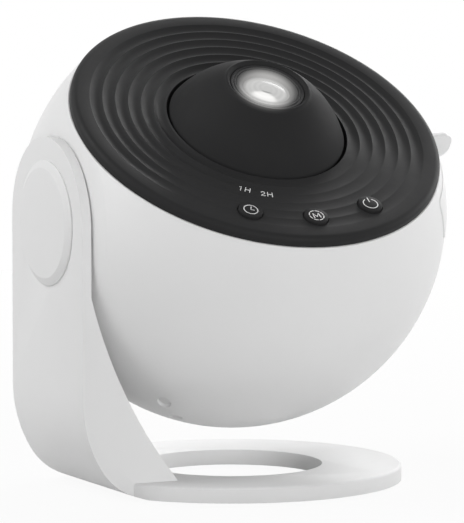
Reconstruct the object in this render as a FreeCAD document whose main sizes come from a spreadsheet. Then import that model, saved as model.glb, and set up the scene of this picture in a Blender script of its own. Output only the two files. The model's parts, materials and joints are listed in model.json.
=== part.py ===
import FreeCAD, Part
import math
import os
import re
import Sketcher
from FreeCAD import Vector

# A planetarium projector: a globe head that tilts in a one-armed stand with a ring foot.
# Millimetres. The origin is the middle of the ring foot on the table, +Z is up, the front is -Y
# and the arm stands at -X. The head has its own frame: its origin is the globe's centre and its
# z axis is the axis of the cone, leaning forward from the vertical by head_tilt.

SIZES = [
    # the globe
    ("pivot_height", 87.7, "centre of the globe above the table"),
    ("head_tilt", 31.5, "lean of the head's axis at rest, degrees"),
    ("globe_radius", 70.0, "outside of the globe"),
    ("shell_wall", 2.2, "wall of the globe"),
    ("flat_depth", 7.4, "flat on the arm side, below the globe's surface"),
    ("flat_blend", 18.0, "rounding from the flat into the ball"),
    ("blend_skim", 0.05, "how far the rounding runs out above the ball"),
    ("mouth_height", 32.8, "plane of the globe's mouth, from the centre"),
    # the stand
    ("foot_radius", 55.8, "outside of the ring foot"),
    ("foot_hole_radius", 29.7, "hole of the ring foot"),
    ("foot_top", 5.4, "top of the ring foot above the table"),
    ("foot_round", 0.8, "rounding of the ring foot's top edge"),
    ("pad_proud", 0.4, "rubber pad below the foot's underside"),
    ("pad_recess", 0.7, "rubber pad inside the foot"),
    ("pad_inner_radius", 33.0, "inside of the rubber pad"),
    ("pad_width", 7.5, "width of the rubber pad"),
    ("arm_gap", 0.4, "between the globe's flat and the arm"),
    ("arm_thickness", 3.1, "arm at the pivot"),
    ("arm_half_width", 27.9, "half the arm's width, and its rounded top"),
    ("bend_height", 33.0, "where the outer face starts to bend to the foot"),
    ("bend_reach", 25.1, "how far the bend runs inwards"),
    ("bend_toe_radius", 22.0, "radius of the bend next to the table"),
    ("gusset_top", 66.0, "where the heel starts to thicken, above the table"),
    ("gusset_waist", 12.6, "middle of the heel's hollow, from the arm's inner face"),
    ("gusset_waist_height", 32.8, "middle of the heel's hollow, above the table"),
    ("gusset_toe", 32.6, "where the heel meets the foot's top, from the axis"),
    ("globe_relief", 1.0, "room between the globe and the heel"),
    # the pivot
    ("shaft_radius", 6.95, "hub shaft in the arm"),
    ("shaft_play", 0.08, "radial play of the shaft in the arm"),
    ("counterbore_radius", 14.0, "recess in the arm's outer face"),
    ("counterbore_depth", 1.3, "depth of that recess"),
    ("cap_radius", 20.3, "pivot cap at the arm"),
    ("cap_face_radius", 17.8, "pivot cap's flat face"),
    ("cap_height", 1.74, "pivot cap proud of the arm"),
    ("cap_wall", 1.0, "wall of the pivot cap's face"),
    ("cap_spigot_wall", 1.4, "ring that snaps into the recess"),
    ("cap_spigot_depth", 1.0, "how deep that ring reaches"),
    ("snap_gap", 0.15, "gap round snapped and screwed fits"),
    ("slip_gap", 0.05, "gap between faces that rub"),
    ("clamp_radius", 11.5, "clamp washer"),
    ("clamp_thickness", 0.8, "clamp washer"),
    ("pivot_screw_radius", 1.5, "pivot screw's shank"),
    ("pivot_head_radius", 4.0, "pivot screw's head"),
    ("pivot_head_height", 1.1, "pivot screw's head"),
    ("hub_flange_radius", 26.0, "hub flange inside the globe"),
    ("hub_flange_thickness", 2.5, "hub flange"),
    ("hub_boss_radius", 13.0, "hub in the globe's side opening"),
    ("hub_screw_circle", 20.5, "radius on which the hub screws lie"),
    ("washer_radius", 10.9, "friction washer"),
    ("washer_recess", 0.8, "recess in the hub for the friction washer"),
    # small screws
    ("screw_radius", 1.0, "shank of the small screws"),
    ("screw_head_radius", 2.1, "head of the small screws"),
    ("screw_head_height", 1.5, "head of the small screws"),
    ("screw_play", 0.1, "gap round a shank"),
    # the top plate
    ("plate_top", 36.35, "face of the plate, from the centre"),
    ("plate_step", 0.34, "plate's edge inside the edge of the globe's mouth"),
    ("plate_skin", 3.35, "plate from its face to its underside"),
    ("rim_round", 2.2, "rounding of the plate's rim"),
    ("band_width", 31.55, "plate from its edge to the cone's opening"),
    ("rim_width", 5.9, "plain rim outside the ripples"),
    ("ripple_depth", 0.85, "hollow between two crests"),
    ("soft_depth", 0.13, "the same beside the buttons"),
    ("soft_half_angle", 45.0, "half of the calm zone round the buttons, degrees"),
    ("fade_angle", 35.0, "over which the ripples come up to full depth, degrees"),
    ("spigot_gap", 0.34, "between the globe's mouth and the ring under the plate"),
    ("spigot_wall", 3.0, "thickness of that ring"),
    ("spigot_depth", 2.2, "depth of that ring below the mouth"),
    ("post_radius", 2.5, "posts that carry the upper deck"),
    ("post_inset", 3.55, "middle of a post inside the deck's edge"),
    ("post_gap", 0.4, "between a runner and the screw in a post"),
    ("board_post_radius", 2.2, "posts that carry the button board"),
    ("board_post_inset", 7.3, "the same, behind the middle button"),
    # the buttons
    ("button_inset", 11.2, "middle of a button inside the plate's edge"),
    ("button_spread", 25.0, "angle from the middle button to the others, degrees"),
    ("button_radius", 4.4, "cap of a button"),
    ("button_proud", 1.1, "cap above the plate"),
    ("button_edge", 0.35, "bevel of the cap"),
    ("button_gap", 0.25, "gap round a cap"),
    ("button_flange", 0.8, "width of the flange under the plate"),
    ("button_flange_thickness", 0.7, "the same flange"),
    ("button_stem_radius", 1.2, "stem that presses the switch"),
    ("button_stem", 0.6, "length of the stem"),
    ("switch_gap", 0.65, "between stem and plunger, a little more than the travel"),
    ("switch_size", 6.0, "side of a switch"),
    ("switch_plunger", 0.35, "height of a switch's plunger"),
    ("switch_plunger_radius", 1.3, "plunger of a switch"),
    ("switch_height", 0.6, "switch above its board"),
    ("board_thickness", 1.6, "circuit boards"),
    ("board_rim", 0.25, "button board round its switches and lights"),
    ("board_depth", 12.3, "button board behind the middle button"),
    ("board_corner", 5.3, "cut corners at the button board's front"),
    ("light_length", 2.0, "timer light"),
    ("light_width", 1.2, "timer light"),
    ("light_height", 0.8, "timer light"),
    ("first_light_x", 2.65, "first timer light, inside the timer button"),
    ("first_light_y", 11.3, "first timer light, behind the timer button"),
    ("second_light_x", 10.05, "second timer light, inside the timer button"),
    ("second_light_y", 9.0, "second timer light, behind the timer button"),
    ("light_rim", 1.9, "button board round the lights"),
    # the decks
    ("deck_thickness", 2.5, "upper and lower deck and chassis plate"),
    ("deck_gap", 0.6, "between the upper deck and the plate's ring"),
    ("deck_top", 28.1, "upper deck's face, from the centre"),
    ("lamp_deck_radius", 50.0, "lower deck"),
    ("lamp_deck_top", 17.5, "lower deck's face"),
    ("chassis_gap", 1.22, "between the chassis plate's lower edge and the globe's wall"),
    ("chassis_clear", 6.4, "between the chassis plate and the hub's screws"),
    ("chassis_drop", 22.0, "chassis plate's face below the centre"),
    ("pillar_radius", 3.0, "pillars between lower deck and chassis plate"),
    ("pillar_spot", 24.0, "pillars, sideways and fore and aft"),
    # the film tray
    ("tray_bottom", 20.0, "underside of the tray"),
    ("tray_thickness", 5.0, "tray"),
    ("tray_half_width", 29.5, "tray between its runners"),
    ("tray_tail", 26.8, "tray's inner end, from the axis"),
    ("tongue_reach", 2.0, "the tray's side ribs"),
    ("tongue_thickness", 2.0, "the tray's side ribs"),
    ("runner_gap", 0.3, "gap between tray and runners"),
    ("runner_width", 4.5, "width of a runner"),
    ("runner_inner_end", 34.0, "inner end of the runners"),
    ("runner_end_gap", 4.6, "between the runners' outer ends and the globe's wall"),
    ("ledge_thickness", 1.2, "ledge of the tray under the film ring"),
    ("ledge_bore", 21.5, "hole of the ledge, in which the ring turns"),
    ("pinion_notch", 8.0, "half width of the notch for the pinion"),
    ("door_half_length", 36.8, "door, seen from the side"),
    ("door_below", 6.5, "door's lower edge beneath the tray"),
    ("door_above", 4.1, "door's upper edge above the tray"),
    ("door_round", 2.2, "corners of the door"),
    ("door_gap", 0.35, "gap round the door"),
    ("door_proud", 0.35, "door proud of the globe"),
    ("tab_proud", 3.4, "end of the pull tab outside the globe"),
    ("tab_height", 9.0, "pull tab, an upright fin"),
    ("tab_inset", 0.3, "top of the pull tab beneath the door's upper edge"),
    ("tab_thickness", 2.0, "pull tab"),
    ("tab_upper_round", 2.6, "upper corner of the pull tab"),
    ("tab_lower_round", 4.6, "lower corner of the pull tab"),
    # the film disc and its drive
    ("tooth_size", 1.0, "module of the gears"),
    ("ring_teeth", 48, "teeth of the film ring"),
    ("pinion_teeth", 12, "teeth of the pinion"),
    ("tooth_addendum", 0.75, "tooth above the pitch circle"),
    ("tooth_dedendum", 0.95, "tooth below the pitch circle"),
    ("tooth_play", 0.14, "play between the teeth on the pitch circle"),
    ("ring_thickness", 3.3, "toothed part of the film ring"),
    ("ring_bore", 18.5, "picture opening of the film ring"),
    ("film_radius", 20.0, "seat of the film"),
    ("film_thickness", 1.0, "film"),
    ("film_lift", 0.9, "film above the underside of its ring"),
    ("ring_play", 0.1, "radial play of the ring in its ledge"),
    ("pinion_thickness", 3.0, "pinion"),
    ("motor_radius", 7.5, "drive motor"),
    ("motor_length", 18.0, "drive motor"),
    ("motor_boss_radius", 3.0, "motor's nose in the lower deck"),
    ("motor_shaft_radius", 1.0, "shaft of the pinion"),
    # the lamp
    ("tube_radius", 19.0, "outside of the light duct"),
    ("tube_wall", 2.0, "light duct"),
    ("condenser_seat", 8.0, "ledge of the condenser, from the centre"),
    ("condenser_edge", 2.0, "edge of the condenser"),
    ("condenser_bulge", 4.2, "dome of the condenser"),
    ("lamp_board_radius", 11.0, "lamp's board"),
    ("emitter_radius", 3.2, "lamp's light-emitting diode"),
    ("emitter_rim", 0.8, "foot of the diode round its dome"),
    ("emitter_foot", 0.6, "height of that foot"),
    ("emitter_neck", 0.2, "upright part of the dome"),
    ("pillar_screw_reach", 7.0, "pillar screws below the lower deck"),
    ("sink_radius", 22.0, "heat sink"),
    ("sink_height", 19.0, "heat sink"),
    ("sink_base", 3.0, "heat sink's base"),
    ("fin_pitch", 6.0, "fins of the heat sink"),
    ("fin_gap", 4.2, "gap between two fins"),
    ("fin_slots", 7, "gaps in the heat sink"),
    # the cone and the lens
    ("cone_gap", 0.95, "between the plate and the cone"),
    ("cone_shoulder", 36.2, "height up to which the cone's side is upright"),
    ("cone_bulge_out", 1.25, "bulge of the cone's side, outwards"),
    ("cone_bulge_up", 1.0, "bulge of the cone's side, upwards"),
    ("cone_rim_radius", 14.3, "outer edge of the cone's mouth"),
    ("cone_rim_height", 51.3, "outer edge of the cone's mouth"),
    ("cone_lip_height", 52.0, "top of the cone's lip"),
    ("cone_lip_radius", 13.4, "top of the cone's lip"),
    ("cone_wall", 2.2, "wall of the cone"),
    ("cone_lap", 1.45, "flange of the cone under the plate's edge"),
    ("cone_flange_thickness", 2.2, "the same flange"),
    ("cone_collar_wall", 2.0, "guide of the lens barrel inside the cone"),
    ("cone_collar_bottom", 43.0, "lower end of that guide"),
    ("turn_gap", 0.2, "gap above and below the cone's flange"),
    ("barrel_radius", 12.3, "lens barrel"),
    ("barrel_play", 0.1, "radial play of the lens barrel"),
    ("barrel_bottom", 27.0, "lower end of the lens barrel"),
    ("barrel_face", 51.0, "front of the lens barrel"),
    ("barrel_key_width", 3.0, "keys that stop the barrel from turning"),
    ("barrel_key_reach", 1.1, "keys, outside the barrel"),
    ("barrel_key_bottom", 4.0, "keys, above the barrel's lower end"),
    ("barrel_key_length", 8.0, "keys, along the barrel"),
    ("sleeve_wall", 2.0, "fixed sleeve round the lens barrel"),
    ("sleeve_top", 41.5, "upper end of the sleeve"),
    ("sleeve_foot", 3.6, "foot of the sleeve round its wall"),
    ("sleeve_flange", 2.0, "foot of the sleeve"),
    ("lens_radius", 8.4, "front lens"),
    ("lens_ring_bore", 7.7, "clear opening of the lens ring"),
    ("lens_ring_radius", 10.3, "lens ring"),
    ("rear_lens_radius", 9.4, "rear lens"),
    ("ring_seat", 1.6, "seat of the lens ring below the barrel's face"),
    ("ring_lift", 0.2, "lens ring's edge below the barrel's face"),
    ("ring_edge", 0.8, "level edge of the lens ring"),
    ("ring_slope", 0.55, "fall of the lens ring towards the lens"),
    ("lens_seat", 3.8, "seat of the front lens below the barrel's face"),
    ("lens_ledge", 1.0, "ledges under the lenses"),
    ("lens_ledge_reach", 0.8, "front lens on its ledge"),
    ("lens_land", 0.2, "flat edge of the front lens inside its ring"),
    ("lens_dome", 1.2, "dome of the front lens"),
    ("lens_bowl", 0.9, "underside of the front lens below its edge"),
    ("rear_seat", 5.2, "seat of the rear lens above the barrel's lower end"),
    ("rear_edge", 2.2, "edge of the rear lens"),
    ("rear_bowl", 1.8, "underside of the rear lens below its edge"),
    # the two plugged screw holes low on the globe, and their rear twins
    ("plug_radius", 2.2, "plug of a screw hole"),
    ("plug_gap", 0.12, "gap round a plug"),
    ("plug_proud", 0.2, "plug proud of the globe"),
    ("boss_radius", 3.7, "screw boss inside the globe"),
    ("seat_depth", 6.0, "screw's seat inside the globe's surface"),
    ("outer_lean_angle", 56.15, "front screw nearer to the arm, from the globe's lowest point, degrees"),
    ("outer_turn_angle", 35.55, "the same, round the axis from the front, degrees"),
    ("inner_lean_angle", 45.52, "other screws, from the globe's lowest point, degrees"),
    ("inner_turn_angle", 30.57, "the same, round the axis from the front or back, degrees"),
    # the supply
    ("supply_width", 26.0, "supply board, sideways"),
    ("supply_length", 22.0, "supply board, fore and aft"),
    ("supply_stand", 2.5, "feet of the supply board"),
    ("supply_foot_radius", 2.0, "feet of the supply board"),
    ("supply_foot_inset", 3.0, "front feet inside the board's edges"),
    ("supply_foot_back", 6.0, "rear feet inside the board's rear edge"),
    ("coil_side", 7.0, "coil on the supply board"),
    ("chip_side", 5.0, "chip on the supply board"),
    ("can_radius", 2.5, "capacitor on the supply board"),
    ("part_inset", 2.0, "coil inside the board's corner"),
    ("part_height", 3.2, "coil, chip and capacitor above the board's face"),
    ("socket_width", 9.0, "cable inlet"),
    ("socket_height", 3.3, "cable inlet"),
    ("socket_length", 9.0, "cable inlet"),
    ("socket_reach", 7.2, "cable inlet beyond the supply board's edge"),
    ("socket_wall", 0.35, "metal shell of the cable inlet"),
    ("socket_back", 1.5, "rear wall of the cable inlet"),
    ("blade_thickness", 0.7, "contact blade in the cable inlet"),
    ("blade_inset", 0.8, "that blade inside the inlet's mouth"),
    ("inlet_gap", 0.6, "opening in the globe round the cable inlet"),
    ("inlet_recess", 2.4, "border of the recess round that opening"),
    ("inlet_depth", 1.0, "that recess below the globe's surface"),
]

# lengths that follow from the ones above, by the names that the outlines use
DERIVED = {
    "wall_radius": "(globe_radius - shell_wall)",
    "flat_offset": "(globe_radius - flat_depth)",
    "blend_ball": "(globe_radius + blend_skim)",
    "blend_start": "(sqrt(blend_ball ^ 2 - flat_offset ^ 2 - 2 * flat_blend * (blend_ball - flat_offset)))",
    "blend_lean": "(atan(blend_start / (flat_offset - flat_blend)))",
    "arm_inner": "(flat_offset + arm_gap)",
    "arm_outer": "(flat_offset + arm_gap + arm_thickness)",
    "gusset_waist_x": "(flat_offset + arm_gap - gusset_waist)",
    "wall_at_flat": "(flat_offset - shell_wall)",
    "plate_bottom": "(plate_top - plate_skin)",
    "plate_radius": "(sqrt(globe_radius ^ 2 - mouth_height ^ 2) - plate_step)",
    "plate_opening": "(plate_radius - band_width)",
    "ripple_outer": "(plate_radius - rim_width)",
    "spigot_radius": "(sqrt(wall_radius ^ 2 - mouth_height ^ 2) - spigot_gap)",
    "deck_radius": "(spigot_radius - spigot_wall - deck_gap)",
    "post_y": "(tray_half_width + runner_gap + runner_width + screw_head_radius + post_gap)",
    "post_x": "sqrt((deck_radius - post_inset) ^ 2 - post_y ^ 2)",
    "button_circle": "(plate_radius - button_inset)",
    "button_side": "(button_circle * sin(button_spread))",
    "button_fore": "(button_circle * cos(button_spread))",
    "board_post_x": "(button_side / 2)",
    "board_post_y": "(button_circle - board_post_inset)",
    "deck_bottom": "(deck_top - deck_thickness)",
    "lamp_deck_bottom": "(lamp_deck_top - deck_thickness)",
    "chassis_top": "(0 - chassis_drop)",
    "chassis_bottom": "(0 - chassis_drop - deck_thickness)",
    "chassis_radius": "(sqrt(wall_radius ^ 2 - chassis_bottom ^ 2) - chassis_gap)",
    "chassis_cut": "(wall_at_flat - hub_flange_thickness - screw_head_height - chassis_clear)",
    "cone_radius": "(plate_opening - cone_gap)",
    "cone_flange_radius": "(plate_opening + cone_lap)",
    "cone_bulge_radius": "((cone_radius + cone_rim_radius) / 2 + cone_bulge_out)",
    "cone_bulge_height": "((cone_shoulder + cone_rim_height) / 2 + cone_bulge_up)",
    "sleeve_flange_radius": "(barrel_radius + barrel_play + sleeve_wall + sleeve_foot)",
    "counterbore_floor": "(arm_outer - counterbore_depth)",
    "flange_top": "(plate_bottom - turn_gap * 2)",
    "flange_bottom": "(plate_bottom - turn_gap * 2 - cone_flange_thickness)",
    "button_flange_top": "(plate_bottom - turn_gap / 2)",
    "button_flange_bottom": "(plate_bottom - turn_gap / 2 - button_flange_thickness)",
    "stem_bottom": "(plate_bottom - turn_gap / 2 - button_flange_thickness - button_stem)",
    "tray_top": "(tray_bottom + tray_thickness)",
    "ledge_top": "(tray_bottom + ledge_thickness)",
    "ring_bottom": "(tray_bottom + ledge_thickness + slip_gap)",
    "film_floor": "(ring_bottom + film_lift)",
    "ring_pitch": "(tooth_size * ring_teeth / 2)",
    "pinion_pitch": "(tooth_size * pinion_teeth / 2)",
    "runner_face": "(tray_half_width + runner_gap)",
    "runner_back": "(tray_half_width + runner_gap + runner_width)",
    "runner_outer_end": "(sqrt(wall_radius ^ 2 - runner_back ^ 2 - deck_bottom ^ 2) - runner_end_gap)",
    "door_low": "(tray_bottom - door_below)",
    "door_high": "(tray_bottom + tray_thickness + door_above)",
    "tab_reach": "(globe_radius + tab_proud)",
    "tab_top": "(tray_bottom + tray_thickness + door_above - tab_inset)",
    "tab_low": "(tray_bottom + tray_thickness + door_above - tab_inset - tab_height)",
    "outer_plug_x": "(globe_radius * sin(outer_lean_angle) * sin(outer_turn_angle))",
    "outer_plug_y": "(globe_radius * sin(outer_lean_angle) * cos(outer_turn_angle))",
    "inner_plug_x": "(globe_radius * sin(inner_lean_angle) * sin(inner_turn_angle))",
    "inner_plug_y": "(globe_radius * sin(inner_lean_angle) * cos(inner_turn_angle))",
    "socket_bottom": "(supply_stand + board_thickness - chassis_drop)",
    "socket_top": "(supply_stand + board_thickness + socket_height - chassis_drop)",
    "socket_end": "(sqrt(wall_radius ^ 2 - socket_bottom ^ 2 - (socket_width / 2) ^ 2) - slip_gap)",
    "supply_back": "(socket_end - socket_reach)",
    "supply_front": "(socket_end - socket_reach - supply_length)",
}
PLUGS = [("-outer_plug_x", "-outer_plug_y"), ("-inner_plug_x", "-inner_plug_y")]
REAR_SCREWS = [("inner_plug_x", "inner_plug_y"), ("-inner_plug_x", "inner_plug_y")]

HEAD = (
    "create(<<placement>>; create(<<vector>>; 0; 0; pivot_height);"
    " create(<<rotation>>; create(<<vector>>; 1; 0; 0); head_tilt))"
)
# the pivot's pieces are drawn with their own z axis along -X
HEAD_PIVOT = (
    "create(<<placement>>; create(<<vector>>; 0; 0; pivot_height);"
    " create(<<rotation>>; create(<<vector>>; 1; 0; 0); head_tilt)"
    " * create(<<rotation>>; create(<<vector>>; 0; 1; 0); -90))"
)
ARM_PIVOT = (
    "create(<<placement>>; create(<<vector>>; 0; 0; pivot_height);"
    " create(<<rotation>>; create(<<vector>>; 0; 1; 0); -90))"
)

document = FreeCAD.newDocument("planetarium_projector")
sheet = document.addObject("Spreadsheet::Sheet", "sizes")
for row, (alias, value, meaning) in enumerate(SIZES, start=1):
    sheet.set(f"A{row}", str(value))
    sheet.setAlias(f"A{row}", alias)
    sheet.set(f"B{row}", meaning)
document.recompute()

ALIASES = {alias for alias, value, meaning in SIZES}
finished = []


def bound(formula):
    """The formula with derived names spelled out and each size read from the sheet."""
    formula = str(formula)
    while any(re.search(rf"\b{name}\b", formula) for name in DERIVED):
        formula = re.sub(r"[a-z_]+", lambda word: DERIVED.get(word.group(), word.group()), formula)
    return re.sub(
        r"[a-z_]+",
        lambda word: f"sizes.{word.group()}" if word.group() in ALIASES else word.group(),
        formula,
    )


def number(formula):
    """The value of a formula in the sheet's sizes."""
    return float(sheet.evalExpression(bound(formula)))


def bind(thing, prop, formula):
    thing.setExpression(prop, bound(formula))


def finish(thing, label, frame=None):
    """Name a piece, put it in its frame and list it for writing."""
    thing.Label = label
    if frame:
        bind(thing, "Placement", frame)
    finished.append(thing)
    return thing


def body(name):
    return document.addObject("PartDesign::Body", name)


def sketch(owner, name, plane="XZ_Plane", height="0", turn="0"):
    """A sketch on one of its body's planes, lifted off it, or turned about the body's z axis."""
    drawing = owner.newObject("Sketcher::SketchObject", name)
    support = next(f for f in owner.Origin.OriginFeatures if f.Role == plane)
    drawing.AttachmentSupport = [(support, "")]
    drawing.MapMode = "FlatFace"
    if height != "0":
        bind(drawing, "AttachmentOffset.Base.z", height)
    if turn != "0":
        offset = "create(<<placement>>; create(<<vector>>; 0; 0; 0);"
        offset += f" create(<<rotation>>; create(<<vector>>; 0; 1; 0); {turn}))"
        bind(drawing, "AttachmentOffset", offset)
    document.recompute()
    return drawing


def pin(drawing, geometry, spot, across, up):
    """Hold one point of a sketch at a place given by two formulas."""
    for kind, formula in (("DistanceX", across), ("DistanceY", up)):
        index = drawing.addConstraint(Sketcher.Constraint(kind, -1, 1, geometry, spot, number(formula)))
        bind(drawing, f"Constraints[{index}]", formula)


def outline(drawing, corners):
    """A closed outline. A corner is (across, up), or (across, up, via across, via up) where the
    stretch that leaves it is an arc through the via point."""
    places = [Vector(number(corner[0]), number(corner[1]), 0) for corner in corners]
    ends = []
    for index, corner in enumerate(corners):
        start = places[index]
        stop = places[(index + 1) % len(places)]
        if len(corner) == 4:
            via = Vector(number(corner[2]), number(corner[3]), 0)
            edge = drawing.addGeometry(Part.Arc(start, via, stop))
            forward = drawing.getPoint(edge, 1).distanceToPoint(start) < 1e-6
            ends.append((edge, 1, 2) if forward else (edge, 2, 1))
        else:
            edge = drawing.addGeometry(Part.LineSegment(start, stop))
            ends.append((edge, 1, 2))
    for index, corner in enumerate(corners):
        edge, first, last = ends[index]
        follower, near, far = ends[(index + 1) % len(ends)]
        drawing.addConstraint(Sketcher.Constraint("Coincident", edge, last, follower, near))
        pin(drawing, edge, first, corner[0], corner[1])
        if len(corner) == 4:
            via = drawing.addGeometry(Part.Point(Vector(number(corner[2]), number(corner[3]), 0)), True)
            pin(drawing, via, 1, corner[2], corner[3])
            drawing.addConstraint(Sketcher.Constraint("PointOnObject", via, 1, edge))
    return drawing


def circles(drawing, *rounds):
    """Circles, each (across, up, radius)."""
    for across, up, radius in rounds:
        centre = Vector(number(across), number(up), 0)
        edge = drawing.addGeometry(Part.Circle(centre, Vector(0, 0, 1), number(radius)))
        pin(drawing, edge, 3, across, up)
        index = drawing.addConstraint(Sketcher.Constraint("Radius", edge, number(radius)))
        bind(drawing, f"Constraints[{index}]", radius)
    return drawing


def rectangle(drawing, left, right, low, high):
    return outline(drawing, [(left, low), (right, low), (right, high), (left, high)])


def rounded_box(drawing, half_length, low, high, corner):
    """A box with rounded corners, as long on the left as on the right."""
    cut = f"({corner}) * (1 - cos(45))"
    left, right = f"-({half_length})", f"({half_length})"
    return outline(
        drawing,
        [
            (f"{left} + {corner}", low),
            (f"{right} - {corner}", low, f"{right} - {cut}", f"{low} + {cut}"),
            (right, f"{low} + {corner}"),
            (right, f"{high} - {corner}", f"{right} - {cut}", f"{high} - {cut}"),
            (f"{right} - {corner}", high),
            (f"{left} + {corner}", high, f"{left} + {cut}", f"{high} - {cut}"),
            (left, f"{high} - {corner}"),
            (left, f"{low} + {corner}", f"{left} + {cut}", f"{low} + {cut}"),
        ],
    )


def turned(owner, drawing, kind="Revolution", angle="360", back=False, axis="V_Axis"):
    """Turn a sketch about its upright (or level) axis: Revolution adds, Groove cuts."""
    feature = owner.newObject(f"PartDesign::{kind}", f"{drawing.Name}_turned")
    feature.Profile = drawing
    feature.ReferenceAxis = (drawing, [axis])
    feature.Reversed = back
    bind(feature, "Angle", angle)
    owner.Tip = feature
    return feature


def pad(owner, drawing, length, back=False, middle=False):
    feature = owner.newObject("PartDesign::Pad", f"{drawing.Name}_pad")
    feature.Profile = drawing
    bind(feature, "Length", length)
    feature.Reversed = back
    if middle:
        feature.SideType = "Symmetric"
    owner.Tip = feature
    return feature


def pocket(owner, drawing, length, forward=False, middle=False):
    """Cut against the sketch's normal, or along it when forward."""
    feature = owner.newObject("PartDesign::Pocket", f"{drawing.Name}_pocket")
    feature.Profile = drawing
    bind(feature, "Length", length)
    feature.Reversed = forward
    if middle:
        feature.SideType = "Symmetric"
    owner.Tip = feature
    return feature


def lathe(name, corners, frame=None):
    """A piece of revolution about its frame's z axis."""
    piece = body(name)
    turned(piece, outline(sketch(piece, f"{name}_profile"), corners))
    return finish(piece, name, frame)


def rounds(name, bottom, height, outlines, frame=None):
    """A flat piece padded up from circles, the first outside and the others holes."""
    piece = body(name)
    pad(piece, circles(sketch(piece, f"{name}_outline", "XY_Plane", bottom), *outlines), height)
    return finish(piece, name, frame)


def cylinder(name, radius, height, across, deep, bottom):
    """A plain round bar that stands along z."""
    bar = document.addObject("Part::Cylinder", name)
    bind(bar, "Radius", radius)
    bind(bar, "Height", height)
    for axis, formula in (("x", across), ("y", deep), ("z", bottom)):
        bind(bar, f"Placement.Base.{axis}", formula)
    return bar


def screws(name, spots, seat, shank, frame, upward=True):
    """Equal screws along z. Each spot is (across, deep); the heads lie below the seat, or above it
    when the screws point down."""
    singles = []
    for index, (across, deep) in enumerate(spots):
        level = seat[index] if isinstance(seat, list) else seat
        depth = shank[index] if isinstance(shank, list) else shank
        head_bottom = f"({level}) - screw_head_height" if upward else level
        shank_bottom = level if upward else f"({level}) - ({depth})"
        where = (across, deep, head_bottom)
        parts = [
            cylinder(f"{name}_head_{index}", "screw_head_radius", "screw_head_height", *where),
            cylinder(f"{name}_shank_{index}", "screw_radius", depth, across, deep, shank_bottom),
        ]
        single = document.addObject("Part::MultiFuse", f"{name}_{index}")
        single.Shapes = parts
        singles.append(single)
    group = document.addObject("Part::Compound", name)
    group.Links = singles
    return finish(group, name, frame)


# ---------------------------------------------------------------- the stand


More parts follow.
